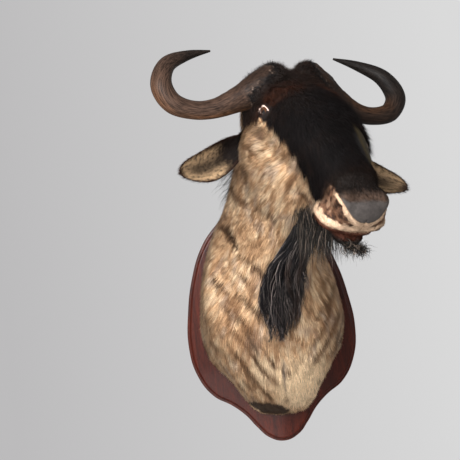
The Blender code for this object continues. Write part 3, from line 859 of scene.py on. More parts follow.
def summed(tree, a, b):
    return add_node(tree, "ShaderNodeVectorMath", {0: a, 1: b}, operation="ADD").outputs[0]


def bump(tree, shader, height, distance, strength):
    """Lets a height between 0 and 1 raise the surface by up to a distance in metres."""
    raised = add_node(tree, "ShaderNodeBump", {"Height": height, "Distance": distance, "Strength": strength})
    tree.links.new(raised.outputs[0], shader.inputs["Normal"])


def skin_finish():
    """Tanned, salted gnu skin under clipped hair: the coat's own colours, matt, finely mottled."""
    made, tree, shader = principled("Tanned gnu skin, haired", Roughness=0.8, Specular_IOR_Level=0.12)
    place = add_node(tree, "ShaderNodeTexCoord").outputs["Object"]
    # Hair bases, about 2 mm apart
    mottle = noise_over(tree, place, 420.0, 3.0)
    tint = scaled(tree, kept(tree, "coat")["Color"], ranged(tree, mottle, 0.45, 1.25))
    tree.links.new(tint, shader.inputs["Base Color"])
    bump(tree, shader, mottle, 0.0008, 0.6)
    return made


def hair_finish(name, roughness, shine, pale_share, pale, lie):
    """Dry animal hair: darker at the root, each hair with its own shade and a few far paler ones, which on
    black hair stand partly for bleached hairs and partly for a painted sheen.

    Lie is how far the hairs are lit like the skin below them rather than one by one.
    """
    made, tree, shader = principled(name, Roughness=roughness, Specular_IOR_Level=shine)
    shade = kept(tree, "shade")["Fac"]
    rise = ranged(tree, kept(tree, "along")["Fac"], 0.80, 1.15)
    own = ranged(tree, shade, 0.45, 1.25)
    paler_and_sheen = ranged(tree, shade, 0.0, pale, 1 - pale_share)
    tone = maths(tree, "MULTIPLY", rise, maths(tree, "ADD", own, paler_and_sheen))
    tree.links.new(scaled(tree, kept(tree, "coat")["Color"], tone), shader.inputs["Base Color"])
    if lie > 0:
        turned = add_node(
            tree,
            "ShaderNodeVectorTransform",
            {0: kept(tree, "facing")["Vector"]},
            vector_type="NORMAL",
            convert_from="OBJECT",
            convert_to="WORLD",
        )
        hair_part = scaled(tree, add_node(tree, "ShaderNodeNewGeometry").outputs["Normal"], 1 - lie)
        both = summed(tree, hair_part, scaled(tree, turned.outputs[0], lie))
        lit = add_node(tree, "ShaderNodeVectorMath", {0: both}, operation="NORMALIZE")
        tree.links.new(lit.outputs[0], shader.inputs["Normal"])
    return made


def node_tree(name, sizes):
    """An empty Geometry Nodes tree with named inputs for its sizes."""
    tree = bpy.data.node_groups.new(name, "GeometryNodeTree")
    tree.interface.new_socket("Geometry", in_out="OUTPUT", socket_type="NodeSocketGeometry")
    tree.interface.new_socket("Geometry", in_out="INPUT", socket_type="NodeSocketGeometry")
    for label, kind in sizes.items():
        tree.interface.new_socket(label, in_out="INPUT", socket_type=f"NodeSocket{kind}")
    return tree


def kept_on(tree, name, kind="FLOAT"):
    """A value kept on the mesh, as Geometry Nodes reads it."""
    node = add_node(tree, "GeometryNodeInputNamedAttribute", {"Name": name}, data_type=kind)
    return node.outputs["Attribute"]


def random_value(tree, low, high, seed, kind="FLOAT"):
    given = {"Min": low, "Max": high, "Seed": seed}
    return add_node(tree, "FunctionNodeRandomValue", given, data_type=kind).outputs["Value"]


def store(tree, geometry, name, value, domain):
    """Keeps a value on the geometry, under a name that its material reads."""
    given = {"Geometry": geometry, "Name": name, "Value": value}
    node = add_node(tree, "GeometryNodeStoreNamedAttribute", given, data_type="FLOAT", domain=domain)
    return node.outputs[0]


def end_tree(tree, geometry, finish):
    """Makes the tree's result real faces in its material."""
    real = add_node(tree, "GeometryNodeRealizeInstances", {"Geometry": geometry})
    done = add_node(tree, "GeometryNodeSetMaterial", {"Geometry": real.outputs[0], "Material": finish})
    add_node(tree, "NodeGroupOutput", {"Geometry": done.outputs[0]})
    return tree


HAIR_MEASURES = ("Hairs per Square Metre", "Length", "Width", "Thickness", "Lift", "Stray")


def short_hair_tree():
    """Scatters straight, pointed hairs over a skin and lays each one along the skin's flow."""
    sizes = dict.fromkeys(HAIR_MEASURES, "Float")
    tree = node_tree("short hair", {**sizes, "Seed": "Int", "Finish": "Material"})
    given = add_node(tree, "NodeGroupInput").outputs
    seed = given["Seed"]
    density = maths(tree, "MULTIPLY", given["Hairs per Square Metre"], kept_on(tree, "cover"))
    roots = add_node(
        tree,
        "GeometryNodeDistributePointsOnFaces",
        {"Mesh": given["Geometry"], "Density": density, "Seed": seed},
        distribute_method="RANDOM",
    )
    normal = kept_on(tree, "facing", "FLOAT_VECTOR")
    chance = random_value(tree, (-1.0, -1.0, -1.0), (1.0, 1.0, 1.0), seed, "FLOAT_VECTOR")
    lifted = summed(tree, kept_on(tree, "flow", "FLOAT_VECTOR"), scaled(tree, normal, given["Lift"]))
    heading = summed(tree, lifted, scaled(tree, chance, given["Stray"]))
    along = add_node(tree, "FunctionNodeAlignRotationToVector", {"Vector": heading}, axis="Z")
    flat = add_node(
        tree,
        "FunctionNodeAlignRotationToVector",
        {"Rotation": along.outputs[0], "Vector": normal},
        axis="Y",
        pivot_axis="Z",
    )
    length = maths(tree, "MULTIPLY", given["Length"], kept_on(tree, "reach"))
    length = maths(tree, "MULTIPLY", length, random_value(tree, 0.65, 1.25, seed))
    size = add_node(tree, "ShaderNodeCombineXYZ", {"X": given["Width"], "Y": given["Thickness"], "Z": length})
    spike = add_node(
        tree,
        "GeometryNodeMeshCone",
        {"Vertices": 3, "Side Segments": 1, "Radius Top": 0.0, "Radius Bottom": 0.5, "Depth": 1.0},
        fill_type="NONE",
    )
    place = add_node(tree, "GeometryNodeInputPosition").outputs[0]
    height = add_node(tree, "ShaderNodeSeparateXYZ", {0: place}).outputs["Z"]
    hairs = add_node(
        tree,
        "GeometryNodeInstanceOnPoints",
        {
            "Points": roots.outputs["Points"],
            "Instance": store(tree, spike.outputs["Mesh"], "along", height, "POINT"),
            "Rotation": flat.outputs[0],
            "Scale": size.outputs[0],
        },
    )
    toned = store(tree, hairs.outputs[0], "shade", random_value(tree, 0.0, 1.0, seed), "INSTANCE")
    return end_tree(tree, toned, given["Finish"])


def grown(name, base, tree, **sizes):
    """Runs a tree on an object and returns its result as a plain piece."""
    made = base.modifiers.new(name, "NODES")
    made.node_group = tree
    sockets = {i.name: i.identifier for i in tree.interface.items_tree if i.in_out == "INPUT"}
    for label, value in sizes.items():
        made[sockets[label]] = value
    mesh = evaluated(base, name)
    base.modifiers.remove(made)
    for spare in ("flow", "cover", "reach"):
        if spare in mesh.attributes:
            mesh.attributes.remove(mesh.attributes[spare])
    mesh.shade_smooth()
    return new_object(name, mesh)


def short_hair(name, skin, finish, seed, measures, extra_lift=0.0):
    """One layer of short hair on a skin; the measures are those in HAIR_MEASURES."""
    tree = bpy.data.node_groups.get("short hair") or short_hair_tree()
    sizes = dict(zip(HAIR_MEASURES, measures))
    sizes["Lift"] += extra_lift
    return grown(name, skin, tree, **sizes, Seed=seed, Finish=finish)


def keep_guides(mesh, flow, cover):
    """Stores what short hair reads on a small piece: its lie, facing and cover, and its full length."""
    normals = normals_of(mesh)
    keep_values(mesh, "flow", "FLOAT_VECTOR", unit(in_skin(flow, normals)))
    keep_values(mesh, "facing", "FLOAT_VECTOR", normals)
    keep_values(mesh, "cover", "FLOAT", cover)
    keep_values(mesh, "reach", "FLOAT", np.ones(len(normals)))


def finish_piece(piece, slot, *nodes):
    """Lets a piece ride with the mount, and says which solids it stands for."""
    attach(piece, BODY)
    if nodes:
        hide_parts(*nodes)


# How often the hide's normals are evened out before its hair is lit by them
FACING_SMOOTHING = 30

# Short hair: hairs a square metre, length, width, thickness, lift off the skin and stray
COAT_HAIR = (61000.0, 0.020, 0.0013, 0.00052, 0.16, 0.13)
COAT_LAYERS = 3
COAT_LIFT_STEP = 0.06
FACE_HAIR = (130000.0, 0.024, 0.0010, 0.0005, 0.14, 0.22)
FACE_LAYERS = 2
FACE_LIFT_STEP = 0.10


def bare_skin(hide):
    """Where no hair grows: the pad, the cut edge on the plaque, the split and the lids."""
    bare = np.maximum(hide.pad, smooth(0.0015, 0.0, CAPE_BACK - hide.points[:, 1]))
    bare = np.maximum(bare, smooth(0.0, 0.6, hide.split_near))
    return np.maximum(bare, smooth(1.25, 1.0, np.hypot(hide.lid_along, hide.lid_high / 0.016)))


def hair_reach(hide):
    """Length of the hair as a share of its full length: long on the face, short on the muzzle."""
    reach = 1 + 0.5 * hide.black * smooth(0.42, 0.36, hide.head[:, 0]) - 0.72 * hide.muzzle
    reach = reach * (1 - 0.6 * smooth(5.0, 2.0, hide.eye_ring))
    return reach * (1 - 0.6 * smooth(1.6, 1.1, stroke(hide.points, *FOOT_DARK_PATCH)))


def dress_hide(skin_material, hair, black):
    """The sculpted hide as one skin, with its layers of tan hair and of black hair on the face."""
    hide = Hide(fused_hide())
    sculpt(hide)
    hide.find_regions()
    mesh, bare = hide.mesh, bare_skin(hide)
    soft = relaxed(hide.normals, edges_of(mesh), FACING_SMOOTHING)
    keep_values(mesh, "coat", "FLOAT_COLOR", coat_colours(hide))
    keep_values(mesh, "flow", "FLOAT_VECTOR", hair_flow(hide))
    keep_values(mesh, "facing", "FLOAT_VECTOR", unit(soft))
    keep_values(mesh, "cover", "FLOAT", 1 - bare)
    keep_values(mesh, "reach", "FLOAT", hair_reach(hide))
    mesh.materials.clear()
    mesh.materials.append(skin_material)
    mesh.shade_smooth()
    skin = new_object("hide_skin", mesh)
    for layer in range(COAT_LAYERS):
        lift = COAT_LIFT_STEP * layer
        coat = short_hair(f"coat_{layer + 1}", skin, hair, 11 + layer, COAT_HAIR, lift)
        finish_piece(coat, "haired_hide")
    on_bridge = smooth(0.462, 0.445, hide.head[:, 0]) * (hide.head[:, 2] > -0.055)
    face = hide.black * np.maximum(1 - hide.muzzle, on_bridge)
    keep_values(mesh, "cover", "FLOAT", (1 - bare) * face)
    for layer in range(FACE_LAYERS):
        lift = FACE_LIFT_STEP * layer
        fur = short_hair(f"face_hair_{layer + 1}", skin, black, 51 + layer, FACE_HAIR, lift)
        finish_piece(fur, "haired_hide")
    finish_piece(skin, "haired_hide", "hide")


# The horn's centre line in the head's axes, from the boss near the middle of the head to the
# tip: forward, out to the side, up, then half its depth and half its thickness there.
HORN_LINE = (
    (0.002, 0.012, -0.040, 0.034, 0.038),
    (0.006, 0.040, -0.045, 0.047, 0.051),
    (0.012, 0.078, -0.056, 0.041, 0.042),
    (0.018, 0.122, -0.077, 0.030, 0.030),
    (0.027, 0.179, -0.100, 0.023, 0.023),
    (0.026, 0.230, -0.107, 0.021, 0.0215),
    (0.013, 0.278, -0.098, 0.0230, 0.0240),
    (-0.020, 0.301, -0.070, 0.0240, 0.0250),
    (-0.072, 0.279, -0.045, 0.0195, 0.0200),
    (-0.108, 0.223, -0.035, 0.0110, 0.0120),
    (-0.128, 0.162, -0.029, 0.0025, 0.0025),
)
HORN_BASE_LIFT = {1: 0.011, -1: 0.0}
LIFT_REACH = 0.6
HORN_RINGS = 190
LEFT_HORN_SHADE = 0.35
HORN_SIDES = 72
FIBRE_RISE = 0.00025
BASE_FIBRE_RISE = 0.0005
LUMP_RISE = 0.0022
HORN_BASE_HAIR = (260000.0, 0.012, 0.0011, 0.0006, 0.55, 0.55)

# Edge between the horn's sheath and its hairy boss: height, and distance from the middle
HORN_SEAM = np.array(
    (
        (-0.085, 0.094),
        (-0.057, 0.109),
        (-0.042, 0.103),
        (0.002, 0.055),
        (0.020, 0.045),
    )
)


def horn_rings(side):
    """Rings round the horn in the head's axes, with fibres and flakes, and their place in its grain."""
    t = np.linspace(0, 1, HORN_RINGS)
    rows = catmull_rom(HORN_LINE, t)
    centre, deep, thick = rows[:, :3].copy(), rows[:, 3:4], rows[:, 4:5]
    tangent = unit(catmull_rom(HORN_LINE, t + 0.01)[:, :3] - catmull_rom(HORN_LINE, t - 0.01)[:, :3])
    tangent[:, 1] *= side
    centre[:, 1] *= side
    centre[:, 2] += HORN_BASE_LIFT[side] * np.sqrt(np.maximum(0.0, 1 - t / LIFT_REACH))
    across = unit(np.cross(tangent, unit(np.array((1.0, 0.0, 0.3)))))
    other = unit(np.cross(tangent, across))
    c, s = np.cos(ring_angles(HORN_SIDES)), np.sin(ring_angles(HORN_SIDES))
    steps = np.linalg.norm(np.diff(centre, axis=0), axis=1)
    length = np.concatenate([[0.0], np.cumsum(steps)])[:, None]
    radius = (deep + thick) / 2
    grain = np.stack(np.broadcast_arrays(radius * c, radius * s, length), axis=-1).reshape(-1, 3)
    base = np.repeat(smooth(0.50, 0.15, t), HORN_SIDES)
    fibre = rough(grain, (420.0, 420.0, 26.0), 2)
    lumps = rough(grain, (60.0, 60.0, 45.0), 3, 5.0)
    press = fibre * (FIBRE_RISE + BASE_FIBRE_RISE * base) + lumps * LUMP_RISE * base
    press = press.reshape(HORN_RINGS, HORN_SIDES) * smooth(1.0, 0.9, t)[:, None]
    sideways = across[:, None] * (c * (thick + press))[..., None]
    upwards = other[:, None] * (s * (deep + press))[..., None]
    return centre[:, None] + sideways + upwards, grain


def horn_piece(name, side, horn_material, hair):
    """A horn sheath with lengthwise fibres, a rough, flaking base and short hair on its boss."""
    rings, grain = horn_rings(side)
    mesh = mesh_of(f"{name}_sheath", loft_verts(from_head(rings)), loft_faces(HORN_RINGS, HORN_SIDES))
    outward(mesh)
    grain = np.vstack([grain, (0, 0, 0), (0, 0, grain[-1, 2])])
    keep_values(mesh, "grain", "FLOAT_VECTOR", grain)
    share = np.append(np.repeat(np.linspace(0, 1, HORN_RINGS), HORN_SIDES), (0.0, 1.0))
    under = np.append(np.tile(-np.cos(ring_angles(HORN_SIDES)), HORN_RINGS), (0.0, 0.0))
    head = to_head(points_of(mesh))
    edge = np.interp(head[:, 2], HORN_SEAM[:, 0], HORN_SEAM[:, 1])
    boss = edge - np.abs(head[:, 1]) + 0.004 * rough(head, 120.0, 2)
    crust, fleck, dark, brown = colours("#0c0908", "#55483f", "#070505", "#120b08")
    coat = mix(horn_colours(share, under, grain, side), crust, smooth(-0.006, 0.002, boss))
    flecks = smooth(0.012, 0.003, np.abs(boss)) * smooth(0.35, 0.6, rough(head, 330.0, 2, 4.0))
    coat = mix(coat, fleck, 0.9 * flecks)
    keep_values(mesh, "coat", "FLOAT_COLOR", coat)
    mesh.materials.append(horn_material)
    mesh.shade_smooth()
    horn = new_object(f"{name}_sheath", mesh)
    lie = HEAD[0] * 0.5 + HEAD[2] * 0.3 + HEAD[1] * side * 0.4
    keep_guides(mesh, lie, smooth(0.0, 0.006, boss))
    # The hair takes its own colours from the sheath, which then gets its keratin's back
    keep_values(mesh, "coat", "FLOAT_COLOR", mix(dark, brown, smooth(0.1, 0.6, boss * 30)))
    fur = short_hair(f"{name}_base_hair", horn, hair, 71 + side, HORN_BASE_HAIR)
    keep_values(mesh, "coat", "FLOAT_COLOR", coat)
    finish_piece(fur, "haired_hide")
    finish_piece(horn, "horn_keratin", name)


def horn_colours(share, under, grain, side):
    """Brown, tan on the underside, flaking and darker at the base, black towards the tip."""
    brown, tan, black, flaked, grey = colours("#271c16", "#3e2a1d", "#0b0908", "#150e0b", "#181411")
    cloud = rough(grain, (40.0, 40.0, 12.0), 3, 3.0)
    coat = mix(brown, tan, smooth(0.2, 1.0, under + 0.4 * cloud) * smooth(0.75, 0.6, share))
    at_base = smooth(0.42, 0.25, share)
    coat = mix(coat, flaked, 0.6 * smooth(0.1, 0.5, rough(grain, (150.0, 150.0, 60.0), 3, 9.0)) * at_base)
    coat = mix(coat, grey, 0.5 * smooth(0.3, 0.7, rough(grain, 220.0, 2, 19.0)) * at_base)
    coat = coat * (1 - 0.45 * smooth(0.36, 0.20, share))[:, None]
    tip_start = 0.80 if side < 0 else 0.62
    coat = coat * (1.0 if side < 0 else LEFT_HORN_SHADE)
    return mix(coat, black, 0.85 * smooth(tip_start - 0.1, tip_start + 0.14, share + 0.03 * cloud))


def horn_finish():
    """Horn keratin, dry and hand-worn: fine lengthwise fibres in a satin sheath."""
    made, tree, shader = principled("Horn keratin, satin", Roughness=0.5, IOR=1.5, Specular_IOR_Level=0.05)
    grain = stretched(tree, kept(tree, "grain")["Vector"], (1.0, 1.0, 0.07))
    fibres = noise_over(tree, grain, 520.0, 4.0, Roughness=0.6)
    tint = scaled(tree, kept(tree, "coat")["Color"], ranged(tree, fibres, 0.30, 1.70, 0.36, 0.64))
    tree.links.new(tint, shader.inputs["Base Color"])
    tree.links.new(ranged(tree, fibres, 0.62, 0.45), shader.inputs["Roughness"])
    bump(tree, shader, fibres, 0.0006, 0.5)
    return made


# Ears in the head's axes: root, tip, half width, direction that the cup opens towards
EAR_ROOT = (0.030, 0.080, -0.178)
EAR_TIPS = {1: (0.158, 0.302, -0.226), -1: (0.124, -0.266, -0.217)}
EAR_HALF_WIDTH = 0.038
EAR_FACE = (0.77, 0.30, 0.50)
EAR_BELLY = 0.34
EAR_CUP = 0.62
EAR_RINGS = 64
EAR_POINTS = 33
EAR_SKIN = 0.0030
EAR_HAIR = (180000.0, 0.011, 0.0009, 0.0004, 0.25, 0.25)


def ear_colours(reach, lower, is_inner):
    """Cream inside with dark streaks, a dark middle, root and rim; brown outside."""
    cream, dark, brown, rim = colours("#937a5e", "#0e0907", "#2c1a11", "#1c0f0a")
    along_ear = np.stack([reach * 0.25, lower * EAR_HALF_WIDTH, 0 * reach], axis=1)
    streaks = rough(along_ear, 190.0, 2, 70.0)
    inside = mix(cream, brown, smooth(0.1, 0.7, streaks) * 0.6)
    centre = np.abs(lower - 0.05 + 0.25 * (reach - 0.4)) + 0.18 * streaks
    inside = mix(inside, dark, 0.85 * smooth(0.75, 0.12, centre) * smooth(1.0, 0.75, reach))
    inside = mix(inside, dark, 0.8 * smooth(0.05, 0.45, rough(along_ear, 120.0, 2, 33.0)))
    inside = mix(inside, dark, smooth(0.52, 0.30, reach + 0.12 * streaks))
    inside = mix(inside, rim, smooth(0.76, 0.98, np.abs(lower) + 0.16 * streaks))
    inside = mix(inside, rim, smooth(0.88, 0.98, reach + 0.04 * streaks))
    return mix(mix(dark, brown, smooth(0.2, 0.8, reach)), inside, is_inner)


def ear_piece(side, material, hair):
    """A leaf rolled into a cup, cream and dark inside, dark brown outside, with its own hair."""
    root = np.array((EAR_ROOT[0], EAR_ROOT[1] * side, EAR_ROOT[2]))
    axis = np.array(EAR_TIPS[side]) - root
    face = np.array((EAR_FACE[0], EAR_FACE[1] * side, EAR_FACE[2]))
    face = unit(face - axis * face.dot(axis) / axis.dot(axis))
    down = unit(np.cross(unit(axis), face))
    down = -down if down[2] > 0 else down
    t = np.linspace(0, 1, EAR_RINGS)[:, None]
    leaf = np.sin(np.pi * np.minimum(1.0, 0.12 + 0.88 * t) ** 1.35) ** 0.52
    half = EAR_HALF_WIDTH * np.maximum(np.maximum(leaf, 0.70 * (1 - t) ** 2), 0.06)
    cup = EAR_CUP * half * (1 - 0.35 * t)
    u = np.linspace(-1, 1, EAR_POINTS)[None, :]
    middle = root + axis * t + down * half * EAR_BELLY * np.sin(np.pi * t**1.5)
    wall = EAR_SKIN * (1 + 1.6 * (1 - t) ** 4) * np.ones_like(u)
    flat = middle[:, None] + down * (half * u)[..., None]
    inner = flat + face * (cup * (u * u - 1) + wall / 2)[..., None]
    outer = flat + face * (cup * (u * u - 1) - wall / 2)[..., None]
    grid = from_head(np.concatenate([inner, outer[:, ::-1]], axis=1))
    mesh = outward(mesh_of("ear", loft_verts(grid), loft_faces(EAR_RINGS, 2 * EAR_POINTS)))
    head = to_head(points_of(mesh)) - root
    reach = np.clip(head @ axis / axis.dot(axis), 0, 1)
    width_here = np.maximum(np.interp(reach, t[:, 0], half[:, 0]), 1e-4)
    belly = np.sin(np.pi * np.maximum(reach, 1e-4) ** 1.5) * EAR_BELLY
    lower = (head - axis * reach[:, None]) @ down / width_here - belly
    is_inner = smooth(-0.2, 0.2, normals_of(mesh) @ (face @ HEAD))
    keep_values(mesh, "coat", "FLOAT_COLOR", ear_colours(reach, lower, is_inner))
    keep_guides(mesh, axis @ HEAD, np.ones(len(head)))
    mesh.materials.append(material)
    mesh.shade_smooth()
    label = "left" if side > 0 else "right"
    ear = new_object(f"ear_{label}", mesh)
    fur = short_hair(f"ear_{label}_hair", ear, hair, 31 + side, EAR_HAIR)
    finish_piece(ear, "haired_hide")
    finish_piece(fur, "haired_hide")


def eye_piece(label, side, material):
    """A glass eye, painted with a dark pupil, an amber ring and a dark edge."""
    middle = np.array(EYE_MIDDLE) * (1, side, 1)
    flat = EYE_RADIUS * EYE_FLATNESS
    place = ball_in_head(middle, (EYE_RADIUS, flat, flat))
    bm = bmesh.new()
    bmesh.ops.create_icosphere(bm, subdivisions=5, radius=1.0, matrix=place)
    mesh = mesh_from(bm, f"glass_eye_{label}")
    gaze = unit(EYE_GAZE * (1, side, 1))
    off = np.arccos(np.clip(unit(to_head(points_of(mesh)) - middle) @ gaze, -1, 1))
    pupil, amber, edge = colours("#060404", "#3e220c", "#0c0705")
    coat = mix(pupil, amber, smooth(0.32, 0.40, off))
    coat = mix(coat, edge, smooth(0.75, 0.95, off))
    keep_values(mesh, "coat", "FLOAT_COLOR", coat)
    mesh.materials.append(material)
    mesh.shade_smooth()
    finish_piece(new_object(f"glass_eye_{label}", mesh), "eye_glass", f"eye_{label}")


def eye_finish():
    """Painted glass eye: polished, with a wet glint."""
    gloss = {"Roughness": 0.06, "IOR": 1.5, "Coat_Weight": 1.0, "Coat_Roughness": 0.02}
    made, tree, shader = principled("Painted glass eye", **gloss)
    tree.links.new(kept(tree, "coat")["Color"], shader.inputs["Base Color"])
    return made


# Outline of one side of the shield, from its crown to its foot: distance out, height
SHIELD_SIDE = (
    (0.0620, 0.3110),
    (0.1160, 0.2684),
    (0.1600, 0.2156),
    (0.1960, 0.1320),
    (0.2165, 0.0460),
    (0.2258, -0.0470),
    (0.2127, -0.1240),
    (0.1760, -0.1850),
    (0.1275, -0.2184),
    (0.0945, -0.2490),
    (0.0690, -0.2830),
    (0.0400, -0.3140),
)
OUTLINE_STEPS = 14

# The moulded edge from the back to the face: how far in from the outline, and how far out
# from the wall
EDGE_PROFILE = (
    (0.0006, 0.0000),
    (0.0000, 0.0008),
    (0.0000, 0.0128),
    (0.0004, 0.0146),
    (0.0016, 0.0158),
    (0.0050, 0.0160),
    (0.0062, 0.0163),
    (0.0068, 0.0172),
    (0.0070, 0.0190),
    (0.0076, 0.0218),
    (0.0090, 0.0242),
    (0.0112, 0.0256),
    (0.0140, 0.0260),
)


def shield_outline():
    """Evenly smooth points round the shield, anticlockwise from the front, and their outward normals."""
    data = bpy.data.curves.new("shield", "CURVE")
    data.dimensions = "2D"
    data.fill_mode = "NONE"
    data.resolution_u = OUTLINE_STEPS
    outline = [(0.0, PLAQUE_HEIGHT / 2), *SHIELD_SIDE, (0.0, -PLAQUE_HEIGHT / 2)]
    outline += [(-x, z) for x, z in reversed(SHIELD_SIDE)]
    spline = data.splines.new("BEZIER")
    spline.bezier_points.add(len(outline) - 1)
    for point, (x, z) in zip(spline.bezier_points, outline):
        point.co = (x, z, 0.0)
        point.handle_left_type = point.handle_right_type = "AUTO"
    spline.use_cyclic_u = True
    curve = new_object("shield", data)
    mesh = evaluated(curve, "shield")
    points = points_of(mesh)[:, :2]
    bpy.data.objects.remove(curve)
    bpy.data.meshes.remove(mesh)
    way = np.roll(points, -1, axis=0) - np.roll(points, 1, axis=0)
    out = np.stack([-way[:, 1], way[:, 0]], axis=1)
    out = out / np.linalg.norm(out, axis=1, keepdims=True)
    if np.sum(out * points) < 0:
        out = -out
    return points, out


# Pockets in the plaque's back for the hanger and the nail's head: width, height and depth
POCKETS = (
    (0.0228, 0.0608, 0.0024),
    (0.0165, 0.0300, 0.0100),
)
SHARP_EDGE = math.radians(35)


def carve_pocket(board, width, height, depth):
    """Cuts a box out of the board's back, round the hanger's middle."""
    bm = bmesh.new()
    bmesh.ops.create_cube(bm, size=1.0)
    bmesh.ops.scale(bm, verts=bm.verts, vec=(width, 2 * depth, height))
    bmesh.ops.translate(bm, verts=bm.verts, vec=(0.0, 0.0, HANGER_Z))
    cutter = new_object("cut", mesh_from(bm, "cut"))
    carve = board.modifiers.new("carve", "BOOLEAN")
    carve.operation = "DIFFERENCE"
    carve.object = cutter
    carved = evaluated(board, "plaque_board")
    board.modifiers.remove(carve)
    board.data = carved
    bpy.data.objects.remove(cutter)


def plaque_piece(material):
    """The mahogany shield with its stepped, rounded edge and the pockets in its back."""
    points, out = shield_outline()
    rings = []
    for inset, depth in EDGE_PROFILE:
        ring = points - out * inset
        rings.append(np.stack([ring[:, 0], np.full(len(ring), -depth), ring[:, 1]], axis=1))
    count = len(points)
    last = (len(rings) - 1) * count
    faces = []
    for low in range(0, last, count):
        for i in range(count):
            j = (i + 1) % count
            faces.append((low + i, low + j, low + count + j, low + count + i))
    faces.append(tuple(range(count)))
    faces.append(tuple(range(last, last + count)))
    board = new_object("plaque_board", outward(mesh_of("plaque_board", np.vstack(rings), faces)))
    for width, height, depth in POCKETS:
        carve_pocket(board, width, height, depth)
    board.data.materials.clear()
    board.data.materials.append(material)
    board.data.shade_smooth()
    board.data.set_sharp_from_angle(angle=SHARP_EDGE)
    finish_piece(board, "mahogany", "plaque")


def mahogany_finish():
    """Mahogany, stained dark and varnished: long upright grain and short dark pores."""
    varnish = {"Roughness": 0.42, "Coat_Weight": 0.04, "Coat_Roughness": 0.12, "Specular_IOR_Level": 0.06}
    made, tree, shader = principled("Mahogany, stained and varnished", **varnish)
    place = add_node(tree, "ShaderNodeTexCoord").outputs["Object"]
    # Grain lines a centimetre or so apart, and many times as long
    grain = noise_over(tree, stretched(tree, place, (1.0, 0.6, 0.06)), 75.0, 6.0, Distortion=0.8)
    tone = ramp(tree, grain, "#1c0704", "#351108", 0.30, 0.72)
    # Open pores, about ten times as long as wide, drawn coarser than real so that they show
    pores = noise_over(tree, stretched(tree, place, (1.0, 1.0, 0.10)), 900.0, 2.0)
    tint = scaled(tree, tone, ranged(tree, pores, 0.45, 1.0, 0.36, 0.46))
    tree.links.new(tint, shader.inputs["Base Color"])
    bump(tree, shader, grain, 0.0002, 0.3)
    return made


def steel_finish():
    """Zinc-plated steel: pale grey, faintly streaked."""
    made, tree, shader = principled("Zinc-plated steel", Metallic=1.0, Roughness=0.35)
    place = add_node(tree, "ShaderNodeTexCoord").outputs["Object"]
    tone = ramp(tree, noise_over(tree, place, 500.0, 2.0), "#9a9a96", "#d6d5d0")
    tree.links.new(tone, shader.inputs["Base Color"])
    return made


def strand_tree():
    """Turns a mesh of polylines into tapered three-sided strands."""
    tree = node_tree("long hair", {"Width": "Float", "Finish": "Material"})
    given = add_node(tree, "NodeGroupInput").outputs
    lines = add_node(tree, "GeometryNodeMeshToCurve", {"Mesh": given["Geometry"]})
    thin = ranged(tree, kept_on(tree, "along"), 0.5, 0.06, 0.35)
    ring = add_node(tree, "GeometryNodeCurvePrimitiveCircle", {"Resolution": 3, "Radius": 1.0}, mode="RADIUS")
    skin = add_node(
        tree,
        "GeometryNodeCurveToMesh",
        {
            "Curve": lines.outputs[0],
            "Profile Curve": ring.outputs[0],
            "Scale": maths(tree, "MULTIPLY", thin, given["Width"]),
            "Fill Caps": True,
        },
    )
    return end_tree(tree, skin.outputs[0], given["Finish"])


RANDOM = np.random.default_rng(1879)


def strands_piece(name, paths, coat, width, finish):
    """Long hairs from an array of paths, each a row of points, with a colour for each path."""
    count, steps = paths.shape[:2]
    ids = np.arange(count * steps).reshape(count, steps)
    edges = np.stack([ids[:, :-1].ravel(), ids[:, 1:].ravel()], axis=1)
    mesh = bpy.data.meshes.new(name)
    mesh.vertices.add(count * steps)
    mesh.edges.add(len(edges))
    mesh.vertices.foreach_set("co", paths.astype(np.float32).ravel())
    mesh.edges.foreach_set("vertices", edges.astype(np.int32).ravel())
    mesh.update()
    keep_values(mesh, "along", "FLOAT", np.tile(np.linspace(0, 1, steps), count))
    keep_values(mesh, "shade", "FLOAT", np.repeat(RANDOM.random(count), steps))
    keep_values(mesh, "coat", "FLOAT_COLOR", np.repeat(coat, steps, axis=0))
    lines = new_object(name, mesh)
    tree = bpy.data.node_groups.get("long hair") or strand_tree()
    made = grown(f"{name}_hair", lines, tree, Width=width, Finish=finish)
    bpy.data.objects.remove(lines)
    finish_piece(made, "haired_hide")


# The hanging beard's middle line, on its front, from the throat to its end, and its half
# width there
BEARD_LINE = (
    (0.092, -0.484, 0.272, 0.012),
    (0.080, -0.474, 0.216, 0.026),
    (0.043, -0.448, 0.150, 0.040),
    (0.019, -0.416, 0.062, 0.041),
    (0.014, -0.388, -0.018, 0.014),
)
BEARD_DEPTH = 0.062
BEARD_STRANDS = 3000
BEARD_LOCKS = 60
BEARD_WAVE = 0.0080
BEARD_WIDTH = 0.0012
STRAND_STEPS = 9


